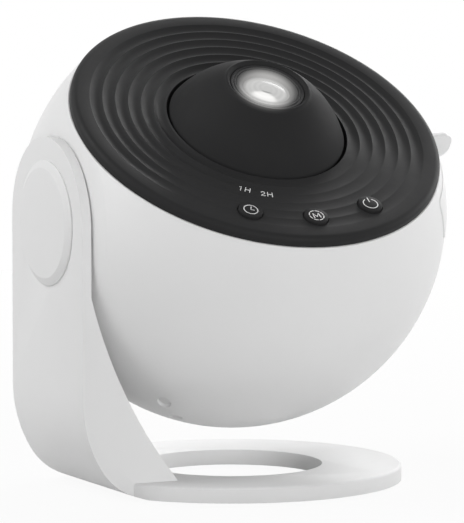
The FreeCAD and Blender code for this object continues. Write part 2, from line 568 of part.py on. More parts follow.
def make_stand_frame():
    """Ring foot, heel and arm in one moulding, with the bend of the heel cut under the foot."""
    piece = body("stand_frame")
    foot = circles(sketch(piece, "foot", "XY_Plane", "pad_proud"), ("0", "0", "foot_radius"))
    pad(piece, foot, "foot_top - pad_proud")
    document.recompute()
    disc = piece.Tip
    top_edge = max(
        range(1, len(disc.Shape.Edges) + 1),
        key=lambda index: disc.Shape.Edges[index - 1].BoundBox.ZMin,
    )
    rounding = piece.newObject("PartDesign::Fillet", "foot_rounding")
    rounding.Base = (disc, [f"Edge{top_edge}"])
    bind(rounding, "Radius", "foot_round")
    piece.Tip = rounding

    side = sketch(piece, "side")
    heel_x = "-arm_outer + bend_reach"
    upper_radius = (
        "((bend_reach ^ 2 + (bend_height - bend_toe_radius) ^ 2 - bend_toe_radius ^ 2)"
        " / (2 * (bend_reach - bend_toe_radius)))"
    )
    # the two arcs of the bend meet on the line through their centres
    run = f"({upper_radius} - bend_reach)"
    rise = "(bend_height - bend_toe_radius)"
    apart = f"sqrt({run} ^ 2 + {rise} ^ 2)"
    meet_x = f"-arm_outer + bend_reach - bend_toe_radius * {run} / {apart}"
    meet_z = f"bend_toe_radius - bend_toe_radius * {rise} / {apart}"
    toe_half = f"(atan({run} / {rise}) / 2)"
    via_toe_x = f"-arm_outer + bend_reach - bend_toe_radius * sin({toe_half})"
    via_toe_z = f"bend_toe_radius - bend_toe_radius * cos({toe_half})"
    heel_half = f"(atan({rise} / {run}) / 2)"
    via_heel_x = f"-arm_outer + {upper_radius} - {upper_radius} * cos({heel_half})"
    via_heel_z = f"bend_height - {upper_radius} * sin({heel_half})"
    outline(
        side,
        [
            ("-gusset_toe", "foot_top", "-gusset_waist_x", "gusset_waist_height"),
            ("-arm_inner", "gusset_top"),
            ("-arm_inner", "pivot_height"),
            ("-arm_outer", "pivot_height"),
            ("-arm_outer", "bend_height", via_heel_x, via_heel_z),
            (meet_x, meet_z, via_toe_x, via_toe_z),
            (heel_x, "0"),
            ("-gusset_toe", "0"),
        ],
    )
    pad(piece, side, "2 * arm_half_width", middle=True)

    top = sketch(piece, "arm_top", "YZ_Plane", "-arm_outer")
    pad(piece, circles(top, ("0", "pivot_height", "arm_half_width")), "arm_thickness")

    # the bend carries on sideways under the foot, and the underside is level above the pad
    beyond = "-arm_outer - bend_reach"
    under = sketch(piece, "bend_under_foot")
    outline(
        under,
        [
            (beyond, "bend_height"),
            ("-arm_outer", "bend_height", via_heel_x, via_heel_z),
            (meet_x, meet_z, via_toe_x, via_toe_z),
            (heel_x, "0"),
            (heel_x, "-bend_height"),
            (beyond, "-bend_height"),
        ],
    )
    pocket(piece, under, "4 * foot_radius", middle=True)
    level = sketch(piece, "underside", "XY_Plane", "pad_proud")
    rectangle(level, "-2 * foot_radius", "2 * foot_radius", "-2 * foot_radius", "2 * foot_radius")
    pocket(piece, level, "2 * foot_top")

    hole = circles(sketch(piece, "foot_hole", "XY_Plane"), ("0", "0", "foot_hole_radius"))
    pocket(piece, hole, "2 * foot_top", forward=True)
    groove = sketch(piece, "pad_groove", "XY_Plane", "pad_proud")
    circles(
        groove,
        ("0", "0", "pad_inner_radius - snap_gap"),
        ("0", "0", "pad_inner_radius + pad_width + snap_gap"),
    )
    pocket(piece, groove, "pad_recess", forward=True)

    # room for the globe: a ball about the pivot that stops at the arm's inner face
    relief = sketch(piece, "globe_room")
    ball = "(globe_radius + globe_relief)"
    flat = f"sqrt({ball} ^ 2 - arm_inner ^ 2)"
    bisect = f"(asin(arm_inner / {ball}) / 2)"
    outline(
        relief,
        [
            ("-arm_inner", "pivot_height"),
            (
                "-arm_inner",
                f"pivot_height + {flat}",
                f"-{ball} * sin({bisect})",
                f"pivot_height + {ball} * cos({bisect})",
            ),
            ("0", f"pivot_height + {ball}"),
            ("0", "pivot_height"),
        ],
    )
    axle = piece.newObject("PartDesign::Line", "pivot_line")
    bind(
        axle,
        "Placement",
        "create(<<placement>>; create(<<vector>>; 0; 0; pivot_height);"
        " create(<<rotation>>; create(<<vector>>; 0; 1; 0); 90))",
    )
    room = piece.newObject("PartDesign::Groove", "globe_room_cut")
    room.Profile = relief
    room.ReferenceAxis = (axle, [""])
    room.Angle = 360
    piece.Tip = room

    outer_face = sketch(piece, "counterbore", "YZ_Plane", "-arm_outer")
    circles(outer_face, ("0", "pivot_height", "counterbore_radius"))
    pocket(piece, outer_face, "counterbore_depth", forward=True)
    bore = sketch(piece, "pivot_bore", "YZ_Plane", "-arm_outer")
    circles(bore, ("0", "pivot_height", "shaft_radius + shaft_play"))
    pocket(piece, bore, "2 * arm_thickness", forward=True)
    return finish(piece, "stand_frame")


def make_base_pad():
    """Rubber ring in the groove of the foot."""
    rounds(
        "base_pad",
        "0",
        "pad_proud + pad_recess",
        [("0", "0", "pad_inner_radius + pad_width"), ("0", "0", "pad_inner_radius")],
    )


def make_pivot():
    """Everything on the tilt axis, drawn outwards from the globe's centre."""
    cap_edge = "counterbore_radius - snap_gap"
    cap_inner = "counterbore_radius - snap_gap - cap_spigot_wall"
    cap_face = "arm_outer + cap_height"
    lathe(
        "pivot_cap",
        [
            (cap_inner, "arm_outer - cap_spigot_depth"),
            (cap_edge, "arm_outer - cap_spigot_depth"),
            (cap_edge, "arm_outer"),
            ("cap_radius", "arm_outer"),
            ("cap_radius", "arm_outer + cap_height * 0.25"),
            ("cap_face_radius", cap_face),
            ("0", cap_face),
            ("0", f"{cap_face} - cap_wall"),
            (cap_inner, f"{cap_face} - cap_wall"),
        ],
        ARM_PIVOT,
    )
    clamp_bottom = "counterbore_floor + slip_gap"
    rounds(
        "clamp_washer",
        clamp_bottom,
        "clamp_thickness",
        [("0", "0", "clamp_radius"), ("0", "0", "pivot_screw_radius + screw_play")],
        HEAD_PIVOT,
    )
    head_bottom = f"{clamp_bottom} + clamp_thickness"
    lathe(
        "pivot_screw",
        [
            ("0", "wall_at_flat - hub_flange_thickness"),
            ("pivot_screw_radius", "wall_at_flat - hub_flange_thickness"),
            ("pivot_screw_radius", head_bottom),
            ("pivot_head_radius", head_bottom),
            ("pivot_head_radius", f"{head_bottom} + pivot_head_height / 2"),
            ("pivot_head_radius - pivot_head_height / 2", f"{head_bottom} + pivot_head_height"),
            ("0", f"{head_bottom} + pivot_head_height"),
        ],
        HEAD_PIVOT,
    )
    rounds(
        "pivot_washer",
        "flat_offset - washer_recess",
        "arm_inner - slip_gap - flat_offset + washer_recess",
        [("0", "0", "washer_radius"), ("0", "0", "shaft_radius + screw_play")],
        HEAD_PIVOT,
    )
    hub = body("pivot_hub")
    bore = "pivot_screw_radius + screw_play / 2"
    recess = "flat_offset - washer_recess"
    outline(
        sketch(hub, "hub_profile"),
        [
            (bore, "wall_at_flat - hub_flange_thickness"),
            ("hub_flange_radius", "wall_at_flat - hub_flange_thickness"),
            ("hub_flange_radius", "wall_at_flat"),
            ("hub_boss_radius", "wall_at_flat"),
            ("hub_boss_radius", "flat_offset"),
            ("washer_radius + screw_play", "flat_offset"),
            ("washer_radius + screw_play", recess),
            ("shaft_radius", recess),
            ("shaft_radius", clamp_bottom),
            (bore, clamp_bottom),
        ],
    )
    turned(hub, document.getObject("hub_profile"))
    holes = sketch(hub, "hub_screw_holes", "XY_Plane", "wall_at_flat")
    circles(holes, *[(x, y, "screw_radius + screw_play") for x, y in hub_screw_spots()])
    pocket(hub, holes, "2 * hub_flange_thickness", middle=True)
    finish(hub, "pivot_hub", HEAD_PIVOT)
    screws(
        "hub_screws",
        hub_screw_spots(),
        "wall_at_flat - hub_flange_thickness",
        "hub_flange_thickness + shell_wall - 2 * snap_gap - screw_play",
        HEAD_PIVOT,
    )


def hub_screw_spots():
    """Four places on the hub's flange, two on each half of the globe."""
    diagonal = "hub_screw_circle / sqrt(2)"
    return [(f"{a}{diagonal}", f"{b}{diagonal}") for a in ("", "-") for b in ("", "-")]


# ---------------------------------------------------------------- the globe


def make_shell(name, front, screw_spots):
    """Half of the globe's wall, with a flat for the hub, the door's opening and screw bosses."""
    piece = body(name)
    wall = outline(
        sketch(piece, f"{name}_wall"),
        [
            ("0", "-globe_radius", "globe_radius * cos(30)", "-globe_radius * sin(30)"),
            ("sqrt(globe_radius ^ 2 - mouth_height ^ 2)", "mouth_height"),
            (
                "sqrt(wall_radius ^ 2 - mouth_height ^ 2)",
                "mouth_height",
                "wall_radius * cos(30)",
                "-wall_radius * sin(30)",
            ),
            ("0", "-wall_radius"),
        ],
    )
    turned(piece, wall, angle="180", back=front)
    rim = "sqrt(globe_radius ^ 2 - wall_at_flat ^ 2)"
    lean = "((asin(wall_at_flat / globe_radius) + asin(flat_offset / globe_radius)) / 2)"
    flat = outline(
        sketch(piece, f"{name}_flat"),
        [
            ("-wall_at_flat", "0"),
            ("-wall_at_flat", rim, f"-globe_radius * sin({lean})", f"globe_radius * cos({lean})"),
            ("-flat_offset", "sqrt(globe_radius ^ 2 - flat_offset ^ 2)"),
            ("-flat_offset", "0"),
        ],
    )
    turned(piece, flat, angle="180", back=not front, axis="H_Axis")
    middle = "flat_offset - flat_blend"
    beside = outline(
        sketch(piece, f"{name}_beside_flat"),
        [
            ("-flat_offset", "0"),
            (
                "-flat_offset",
                "blend_start",
                f"-({middle}) - flat_blend * cos(blend_lean / 2)",
                "blend_start + flat_blend * sin(blend_lean / 2)",
            ),
            ("-blend_ball * cos(blend_lean)", "blend_ball * sin(blend_lean)"),
            ("-1.2 * globe_radius * cos(blend_lean)", "1.2 * globe_radius * sin(blend_lean)"),
            ("-1.5 * globe_radius", "0"),
        ],
    )
    turned(piece, beside, "Groove", axis="H_Axis")
    above = sketch(piece, f"{name}_mouth", "XY_Plane", "mouth_height")
    rectangle(above, "-globe_radius", "globe_radius", "-globe_radius", "globe_radius")
    pocket(piece, above, "globe_radius", forward=True)

    bosses = sketch(piece, f"{name}_bosses", "XY_Plane", "chassis_bottom")
    circles(bosses, *[(x, y, "boss_radius") for x, y in screw_spots])
    pad(piece, bosses, "globe_radius", back=True)
    trim = outline(
        sketch(piece, f"{name}_trim"),
        [
            ("0", "-globe_radius", "globe_radius * cos(45)", "-globe_radius * sin(45)"),
            ("globe_radius", "0"),
            ("2 * globe_radius", "0"),
            ("2 * globe_radius", "-2 * globe_radius"),
            ("0", "-2 * globe_radius"),
        ],
    )
    turned(piece, trim, "Groove")
    for index, (across, deep) in enumerate(screw_spots):
        hole = sketch(piece, f"{name}_recess_{index}", "XY_Plane", seat_height(across, deep))
        circles(hole, (across, deep, "plug_radius + plug_gap"))
        pocket(piece, hole, "globe_radius")
    shanks = sketch(piece, f"{name}_shanks", "XY_Plane", "chassis_bottom")
    circles(shanks, *[(x, y, "screw_radius + screw_play") for x, y in screw_spots])
    pocket(piece, shanks, "globe_radius")

    opening = sketch(piece, f"{name}_side_opening", "YZ_Plane", "-wall_at_flat")
    circles(opening, ("0", "0", "hub_boss_radius + snap_gap"))
    pocket(piece, opening, "2 * shell_wall")
    hub_holes = sketch(piece, f"{name}_hub_holes", "YZ_Plane", "-wall_at_flat")
    side = "-" if front else ""
    diagonal = "hub_screw_circle / sqrt(2)"
    circles(
        hub_holes,
        *[(f"{side}{diagonal}", f"{up}{diagonal}", "screw_radius + screw_play / 2") for up in ("", "-")],
    )
    pocket(piece, hub_holes, "shell_wall - 2 * snap_gap")
    door = sketch(piece, f"{name}_door", "YZ_Plane")
    gap = "door_gap"
    length = f"door_half_length + {gap}"
    rounded_box(door, length, f"door_low - {gap}", f"door_high + {gap}", f"(door_round + {gap})")
    pocket(piece, door, "2 * globe_radius", forward=True)
    if not front:
        cut_inlet(piece)
    return finish(piece, name, HEAD)


def seat_height(across, deep):
    """Height of a screw's seat above the globe's surface beneath it."""
    return f"-sqrt(globe_radius ^ 2 - ({across}) ^ 2 - ({deep}) ^ 2) + seat_depth"


def cut_inlet(piece):
    """Opening for the cable plug with a shallow recess round it, in the rear of the globe."""
    middle = "socket_top - socket_height / 2"
    sizes = [
        ("inlet", "inlet_gap", "-socket_end + socket_length"),
        (
            "inlet_border",
            "inlet_gap + inlet_recess",
            "-sqrt(globe_radius ^ 2 - socket_width ^ 2) + inlet_depth",
        ),
    ]
    for label, margin, start in sizes:
        slot = sketch(piece, label, "XZ_Plane", start)
        half_height = f"(socket_height / 2 + {margin})"
        half_width = f"(socket_width / 2 + {margin} - {half_height})"
        outline(
            slot,
            [
                (f"-{half_width}", f"{middle} - {half_height}"),
                (
                    half_width,
                    f"{middle} - {half_height}",
                    f"{half_width} + {half_height}",
                    middle,
                ),
                (half_width, f"{middle} + {half_height}"),
                (
                    f"-{half_width}",
                    f"{middle} + {half_height}",
                    f"-{half_width} - {half_height}",
                    middle,
                ),
            ],
        )
        pocket(piece, slot, "globe_radius")


def make_plugs():
    """Plugs in the two front screw holes, and the four chassis screws behind the plugs."""
    piece = document.addObject("Part::Compound", "screw_plug_bars")
    bars = []
    for index, (across, deep) in enumerate(PLUGS):
        seat = seat_height(across, deep)
        low = f"{seat} - screw_head_height - snap_gap - globe_radius / 4"
        bars.append(cylinder(f"plug_bar_{index}", "plug_radius", "globe_radius / 4", across, deep, low))
    piece.Links = bars
    ball = document.addObject("Part::Sphere", "plug_ball")
    bind(ball, "Radius", "globe_radius + plug_proud")
    plugs = document.addObject("Part::Common", "screw_plugs")
    plugs.Base = piece
    plugs.Tool = ball
    finish(plugs, "screw_plugs", HEAD)
    spots = PLUGS + REAR_SCREWS
    seats = [seat_height(x, y) for x, y in spots]
    reach = [f"chassis_bottom + deck_thickness + snap_gap - ({seat})" for seat in seats]
    screws("chassis_screws", spots, seats, reach, HEAD)


# ---------------------------------------------------------------- the top plate


def plate_profile(depth):
    """Half section of the top plate, with ripples of the given depth."""
    pitch = "((ripple_outer - plate_opening) / 6)"
    corners = [("plate_opening", "plate_bottom")]
    for index in range(6):
        corners.append(
            (
                f"plate_opening + {index} * {pitch}",
                "plate_top",
                f"plate_opening + {index + 0.5} * {pitch}",
                f"plate_top - {depth}",
            )
        )
    bevel = "rim_round * (1 - cos(45))"
    corners += [
        ("ripple_outer", "plate_top"),
        ("plate_radius - rim_round", "plate_top", f"plate_radius - {bevel}", f"plate_top - {bevel}"),
        ("plate_radius", "plate_top - rim_round"),
        ("plate_radius", "mouth_height"),
        ("spigot_radius", "mouth_height"),
        ("spigot_radius", "mouth_height - spigot_depth"),
        ("spigot_radius - spigot_wall", "mouth_height - spigot_depth"),
        ("spigot_radius - spigot_wall", "plate_bottom"),
    ]
    return corners


def make_top_plate():
    """Rippled plate: full depth round the back and the sides, nearly calm round the buttons, and a
    swept sector on each side in which one passes into the other."""
    piece = body("top_plate")
    soft_start = "-90 - soft_half_angle"
    full_start = "-90 + soft_half_angle + fade_angle"
    soft = outline(sketch(piece, "calm_section", turn=soft_start), plate_profile("soft_depth"))
    turned(piece, soft, angle="2 * soft_half_angle")
    full = outline(sketch(piece, "rippled_section", turn=full_start), plate_profile("ripple_depth"))
    turned(piece, full, angle="360 - 2 * soft_half_angle - 2 * fade_angle")
    document.recompute()
    for name, start, first, last in (
        ("right_fade", "-90 + soft_half_angle", "soft_depth", "ripple_depth"),
        ("left_fade", "270 - soft_half_angle - fade_angle", "ripple_depth", "soft_depth"),
    ):
        near = outline(sketch(piece, f"{name}_from", turn=start), plate_profile(first))
        far = outline(sketch(piece, f"{name}_to", turn=f"{start} + fade_angle"), plate_profile(last))
        path = sketch(piece, f"{name}_path", "XY_Plane", "plate_bottom")
        begin = number(start)
        end = begin + number("fade_angle")
        radius = number("plate_opening")
        arc = Part.ArcOfCircle(
            Part.Circle(Vector(0, 0, 0), Vector(0, 0, 1), radius), math.radians(begin), math.radians(end)
        )
        edge = path.addGeometry(arc)
        pin(path, edge, 3, "0", "0")
        pin(path, edge, 1, f"plate_opening * cos({start})", f"plate_opening * sin({start})")
        rise = radius * math.sin(math.radians(end))
        index = path.addConstraint(Sketcher.Constraint("DistanceY", -1, 1, edge, 2, rise))
        bind(path, f"Constraints[{index}]", f"plate_opening * sin({start} + fade_angle)")
        document.recompute()
        sweep = piece.newObject("PartDesign::AdditivePipe", name)
        sweep.Profile = near
        sweep.Spine = (path, ["Edge1"])
        sweep.Mode = "Frenet"
        sweep.Transformation = "Multisection"
        sweep.Sections = [(far, [""])]
        piece.Tip = sweep
        document.recompute()

    for name, spots, radius, level in (
        ("deck_posts", deck_post_spots(), "post_radius", "deck_top"),
        ("board_posts", board_post_spots(), "board_post_radius", board_top()),
    ):
        posts = sketch(piece, name, "XY_Plane", level)
        circles(posts, *[(x, y, radius) for x, y in spots])
        pad(piece, posts, f"plate_bottom + ripple_depth / 2 - ({level})")
        bores = sketch(piece, f"{name}_bores", "XY_Plane", level)
        circles(bores, *[(x, y, "screw_radius + screw_play / 2") for x, y in spots])
        pocket(piece, bores, f"plate_bottom - ({level})", forward=True)
    holes = sketch(piece, "button_holes", "XY_Plane", "plate_top")
    circles(holes, *[(x, y, "button_radius + button_gap") for x, y in button_spots()])
    pocket(piece, holes, "2 * plate_skin", middle=True)
    return finish(piece, "top_plate", HEAD)


def deck_post_spots():
    return [(f"{a}post_x", f"{b}post_y") for a in ("", "-") for b in ("", "-")]


def board_post_spots():
    return [("board_post_x", "-board_post_y"), ("-board_post_x", "-board_post_y")]


def board_top():
    """Face of the button board: a switch and its plunger below the buttons' stems."""
    return "stem_bottom - switch_gap - switch_plunger - switch_height"


def button_spots():
    """Timer, mode and power button, from left to right along the plate's front."""
    return [
        ("-button_side", "-button_fore"),
        ("0", "-button_circle"),
        ("button_side", "-button_fore"),
    ]


def make_buttons():
    """Three round caps, each with a flange that keeps it in and a stem for its switch."""
    face = "plate_top + button_proud"
    for name, (across, deep) in zip(("timer_button", "mode_button", "power_button"), button_spots()):
        piece = body(name)
        profile = [
            ("0", "stem_bottom"),
            ("button_stem_radius", "stem_bottom"),
            ("button_stem_radius", "button_flange_bottom"),
            ("button_radius + button_flange", "button_flange_bottom"),
            ("button_radius + button_flange", "button_flange_top"),
            ("button_radius", "button_flange_top"),
            ("button_radius", f"{face} - button_edge"),
            ("button_radius - button_edge", face),
            ("0", face),
        ]
        turned(piece, outline(sketch(piece, f"{name}_profile"), profile))
        offset = (
            f"create(<<placement>>; create(<<vector>>; {across}; {deep}; 0);"
            " create(<<rotation>>; create(<<vector>>; 1; 0; 0); 0))"
        )
        finish(piece, name, f"{HEAD} * {offset}")


def make_button_board():
    """Control board with its switches and the two indicator lights behind the timer marks."""
    board = body("button_board")
    top = board_top()
    side = "button_side + switch_size / 2 + board_rim"
    front = "-button_circle - switch_size / 2 - board_rim"
    shoulder = "-button_fore - switch_size / 2 - board_rim"
    back = "board_depth - button_circle"
    lights_back = "first_light_y - button_fore + light_width / 2 + light_rim"
    lights_side = "first_light_x - button_side - light_length / 2 - light_rim"
    lights_inside = "second_light_x - button_side + light_length / 2 + light_rim"
    outline(
        sketch(board, "button_board_plan", "XY_Plane", top),
        [
            (f"-({side})", shoulder),
            (f"-({side}) + 2 * board_corner", front),
            (f"{side} - 2 * board_corner", front),
            (side, shoulder),
            (side, back),
            (lights_inside, back),
            (lights_inside, lights_back),
            (lights_side, lights_back),
            (f"-({side})", back),
        ],
    )
    plan = document.getObject("button_board_plan")
    pad(board, plan, "board_thickness", back=True)
    bores = sketch(board, "button_board_bores", "XY_Plane", top)
    circles(bores, *[(x, y, "screw_radius + screw_play") for x, y in board_post_spots()])
    pocket(board, bores, "2 * board_thickness")
    finish(board, "button_board", HEAD)

    switches = []
    for index, (across, deep) in enumerate(button_spots()):
        case = document.addObject("Part::Box", f"switch_case_{index}")
        for prop, formula in (
            ("Length", "switch_size"),
            ("Width", "switch_size"),
            ("Height", "switch_height"),
            ("Placement.Base.x", f"{across} - switch_size / 2"),
            ("Placement.Base.y", f"{deep} - switch_size / 2"),
            ("Placement.Base.z", top),
        ):
            bind(case, prop, formula)
        plunger = cylinder(
            f"switch_plunger_{index}",
            "switch_plunger_radius",
            "switch_plunger + switch_height",
            across,
            deep,
            top,
        )
        switch = document.addObject("Part::MultiFuse", f"switch_{index}")
        switch.Shapes = [case, plunger]
        switches.append(switch)
    group = document.addObject("Part::Compound", "tact_switches")
    group.Links = switches
    finish(group, "tact_switches", HEAD)

    lights = []
    for index, order in enumerate(("first", "second")):
        chip = document.addObject("Part::Box", f"timer_light_{index}")
        for prop, formula in (
            ("Length", "light_length"),
            ("Width", "light_width"),
            ("Height", "light_height"),
            ("Placement.Base.x", f"{order}_light_x - button_side - light_length / 2"),
            ("Placement.Base.y", f"{order}_light_y - button_fore - light_width / 2"),
            ("Placement.Base.z", top),
        ):
            bind(chip, prop, formula)
        lights.append(chip)
    pair = document.addObject("Part::Compound", "timer_lights")
    pair.Links = lights
    finish(pair, "timer_lights", HEAD)
    screws(
        "board_screws",
        board_post_spots(),
        f"{top} - board_thickness",
        "board_thickness + plate_skin / 2",
        HEAD,
    )


# ---------------------------------------------------------------- cone and lens


def make_focus_cone():
    """Hollow cone with a flange under the plate and an inner collar that guides the lens barrel."""
    bore = "barrel_radius + barrel_play"
    collar = "barrel_radius + barrel_play + cone_collar_wall"
    foot_inner = "cone_radius - cone_wall"
    shift = "cone_wall * 0.72"
    lathe(
        "focus_cone",
        [
            (foot_inner, "flange_bottom"),
            ("cone_flange_radius", "flange_bottom"),
            ("cone_flange_radius", "flange_top"),
            ("cone_radius", "flange_top"),
            ("cone_radius", "cone_shoulder", "cone_bulge_radius", "cone_bulge_height"),
            (
                "cone_rim_radius",
                "cone_rim_height",
                "cone_lip_radius + (cone_rim_radius - cone_lip_radius) * 0.62",
                "cone_lip_height - (cone_lip_height - cone_rim_height) * 0.3",
            ),
            ("cone_lip_radius", "cone_lip_height"),
            (bore, "barrel_face + barrel_play"),
            (bore, "cone_collar_bottom"),
            (collar, "cone_collar_bottom"),
            (
                collar,
                "cone_rim_height - 1.5 * cone_wall",
                f"cone_bulge_radius - {shift}",
                f"cone_bulge_height - {shift}",
            ),
            (foot_inner, "cone_shoulder - cone_wall / 3"),
        ],
        HEAD,
    )


def dome(radius, foot, height):
    """Corner at the foot of a ball-shaped cap on the axis: its arc runs over to the cap's top."""
    ball = f"((({radius}) ^ 2 + ({height}) ^ 2) / (2 * ({height})))"
    halfway = f"({foot}) + ({height}) - {ball} + sqrt({ball} ^ 2 - ({radius}) ^ 2 / 4)"
    return (radius, foot, f"({radius}) / 2", halfway)


def bowl(radius, foot, depth):
    """Corner at the bottom of a ball-shaped underside on the axis: its arc runs out to the foot."""
    ball = f"((({radius}) ^ 2 + ({depth}) ^ 2) / (2 * ({depth})))"
    halfway = f"({foot}) - ({depth}) + {ball} - sqrt({ball} ^ 2 - ({radius}) ^ 2 / 4)"
    return ("0", f"({foot}) - ({depth})", f"({radius}) / 2", halfway)


def make_lens():
    """Barrel with its two keys, two lenses and the ring that holds the front one."""
    barrel = body("lens_barrel")
    wide = "lens_ring_radius"
    ledge = "lens_radius - lens_ledge_reach"
    rear_ledge = "rear_lens_radius - lens_ledge_reach"
    outline(
        sketch(barrel, "barrel_profile"),
        [
            ("rear_lens_radius + barrel_play", "barrel_bottom"),
            ("barrel_radius", "barrel_bottom"),
            ("barrel_radius", "barrel_face"),
            ("lens_ring_radius + barrel_play", "barrel_face"),
            ("lens_ring_radius + barrel_play", "barrel_face - ring_seat"),
            ("lens_radius + barrel_play", "barrel_face - ring_seat"),
            ("lens_radius + barrel_play", "barrel_face - lens_seat"),
            (ledge, "barrel_face - lens_seat"),
            (ledge, "barrel_face - lens_seat - lens_ledge"),
            (wide, "barrel_face - lens_seat - lens_ledge"),
            (wide, "barrel_bottom + rear_seat + lens_ledge"),
            (rear_ledge, "barrel_bottom + rear_seat + lens_ledge"),
            (rear_ledge, "barrel_bottom + rear_seat"),
            ("rear_lens_radius + barrel_play", "barrel_bottom + rear_seat"),
        ],
    )
    turned(barrel, document.getObject("barrel_profile"))
    keys = sketch(barrel, "barrel_keys", "XY_Plane", "barrel_bottom + barrel_key_bottom")
    inner = "(barrel_radius + lens_ring_radius) / 2"
    outer = "barrel_radius + barrel_key_reach"
    half = "barrel_key_width / 2"
    rectangle(keys, f"-{half}", half, inner, outer)
    rectangle(keys, f"-{half}", half, f"-({outer})", f"-({inner})")
    pad(barrel, keys, "barrel_key_length")
    finish(barrel, "lens_barrel", HEAD)

    sleeve = body("lens_sleeve")
    bore = "barrel_radius + barrel_play"
    outline(
        sketch(sleeve, "sleeve_profile"),
        [
            (bore, "deck_top"),
            ("sleeve_flange_radius", "deck_top"),
            ("sleeve_flange_radius", "deck_top + sleeve_flange"),
            (f"{bore} + sleeve_wall", "deck_top + sleeve_flange"),
            (f"{bore} + sleeve_wall", "sleeve_top"),
            (bore, "sleeve_top"),
        ],
    )
    turned(sleeve, document.getObject("sleeve_profile"))
    ways = sketch(sleeve, "sleeve_keyways", "XY_Plane", "sleeve_top")
    way = f"{outer} + 2 * barrel_play"
    rectangle(ways, f"-{half} - barrel_play", f"{half} + barrel_play", f"-({way})", way)
    pocket(sleeve, ways, "sleeve_top - deck_top")
    finish(sleeve, "lens_sleeve", HEAD)

    edge = "barrel_face - lens_seat"
    rim = "barrel_face - ring_seat - slip_gap"
    clear = "lens_radius - lens_ledge_reach - barrel_play"
    lathe(
        "front_lens",
        [
            bowl(clear, edge, "lens_bowl"),
            (clear, edge),
            ("lens_radius", edge),
            ("lens_radius", rim),
            dome("lens_ring_bore - lens_land", rim, "lens_dome"),
            ("0", f"{rim} + lens_dome"),
        ],
        HEAD,
    )
    seat = "barrel_bottom + rear_seat - slip_gap"
    lathe(
        "rear_lens",
        [
            bowl("rear_lens_radius", f"{seat} - rear_edge", "rear_bowl"),
            ("rear_lens_radius", f"{seat} - rear_edge"),
            ("rear_lens_radius", seat),
            ("0", seat),
        ],
        HEAD,
    )
    lathe(
        "lens_retainer",
        [
            ("lens_ring_bore", "barrel_face - ring_seat"),
            ("lens_ring_radius", "barrel_face - ring_seat"),
            ("lens_ring_radius", "barrel_face - ring_lift"),
            ("lens_ring_radius - ring_edge", "barrel_face - ring_lift"),
            ("lens_ring_bore", "barrel_face - ring_lift - ring_slope"),
        ],
        HEAD,
    )


# ---------------------------------------------------------------- decks and lamp


def make_decks():
    """Upper deck under the cone, lower deck under the tray and the chassis plate over the lamp's
    heat sink."""
    upper = body("optics_deck")
    plan = sketch(upper, "optics_deck_plan", "XY_Plane", "deck_bottom")
    circles(
        plan,
        ("0", "0", "deck_radius"),
        ("0", "0", "barrel_radius + barrel_key_reach + 4 * barrel_play"),
        *[(x, y, "screw_radius + screw_play") for x, y in deck_post_spots()],
    )
    pad(upper, plan, "deck_thickness")
    rib = sketch(upper, "cone_rib", "XY_Plane", "deck_top")
    circles(rib, ("0", "0", "cone_radius + cone_gap / 2"), ("0", "0", "cone_radius - cone_wall"))
    pad(upper, rib, "flange_bottom - turn_gap - deck_top")
    notch = sketch(upper, "board_notch", "XY_Plane", "deck_top")
    room = "2 * screw_head_radius + board_rim"
    rectangle(
        notch,
        f"-board_post_x - ({room})",
        f"board_post_x + {room}",
        "-2 * board_post_y",
        f"-board_post_y + {room}",
    )
    pocket(upper, notch, "4 * deck_thickness", middle=True)
    finish(upper, "optics_deck", HEAD)

    lower = body("lamp_deck")
    plan = sketch(lower, "lamp_deck_plan", "XY_Plane", "lamp_deck_bottom")
    circles(
        plan,
        ("0", "0", "lamp_deck_radius"),
        ("0", "0", "tube_radius - tube_wall"),
        ("-ring_pitch - pinion_pitch", "0", "motor_boss_radius + snap_gap"),
        *[(x, y, "screw_radius + screw_play") for x, y in pillar_spots()],
    )
    pad(lower, plan, "deck_thickness")
    finish(lower, "lamp_deck", HEAD)

    chassis = body("chassis_plate")
    plan = sketch(chassis, "chassis_plan", "XY_Plane", "chassis_bottom")
    circles(
        plan,
        ("0", "0", "chassis_radius"),
        *[(x, y, "screw_radius + screw_play / 2") for x, y in PLUGS + REAR_SCREWS + pillar_spots()],
    )
    pad(chassis, plan, "deck_thickness")
    side = sketch(chassis, "chassis_side", "XY_Plane", "chassis_bottom")
    rectangle(side, "-2 * chassis_radius", "-chassis_cut", "-chassis_radius", "chassis_radius")
    pocket(chassis, side, "4 * deck_thickness", middle=True)
    finish(chassis, "chassis_plate", HEAD)

    bars = []
    for index, (across, deep) in enumerate(pillar_spots()):
        height = "lamp_deck_bottom - chassis_top"
        where = (across, deep, "chassis_top")
        bar = cylinder(f"pillar_bar_{index}", "pillar_radius", height, *where)
        bore = cylinder(f"pillar_bore_{index}", "screw_radius + screw_play / 2", height, *where)
        pillar = document.addObject("Part::Cut", f"pillar_{index}")
        pillar.Base = bar
        pillar.Tool = bore
        bars.append(pillar)
    group = document.addObject("Part::Compound", "deck_pillars")
    group.Links = bars
    finish(group, "deck_pillars", HEAD)
    shank = "deck_thickness + pillar_screw_reach"
    screws("pillar_screws", pillar_spots(), "lamp_deck_top", shank, HEAD, upward=False)
    screws(
        "deck_screws",
        deck_post_spots(),
        "deck_bottom",
        "deck_thickness + plate_bottom - deck_top - snap_gap",
        HEAD,
    )


def pillar_spots():
    return [(f"{a}pillar_spot", f"{b}pillar_spot") for a in ("", "-") for b in ("", "-")]


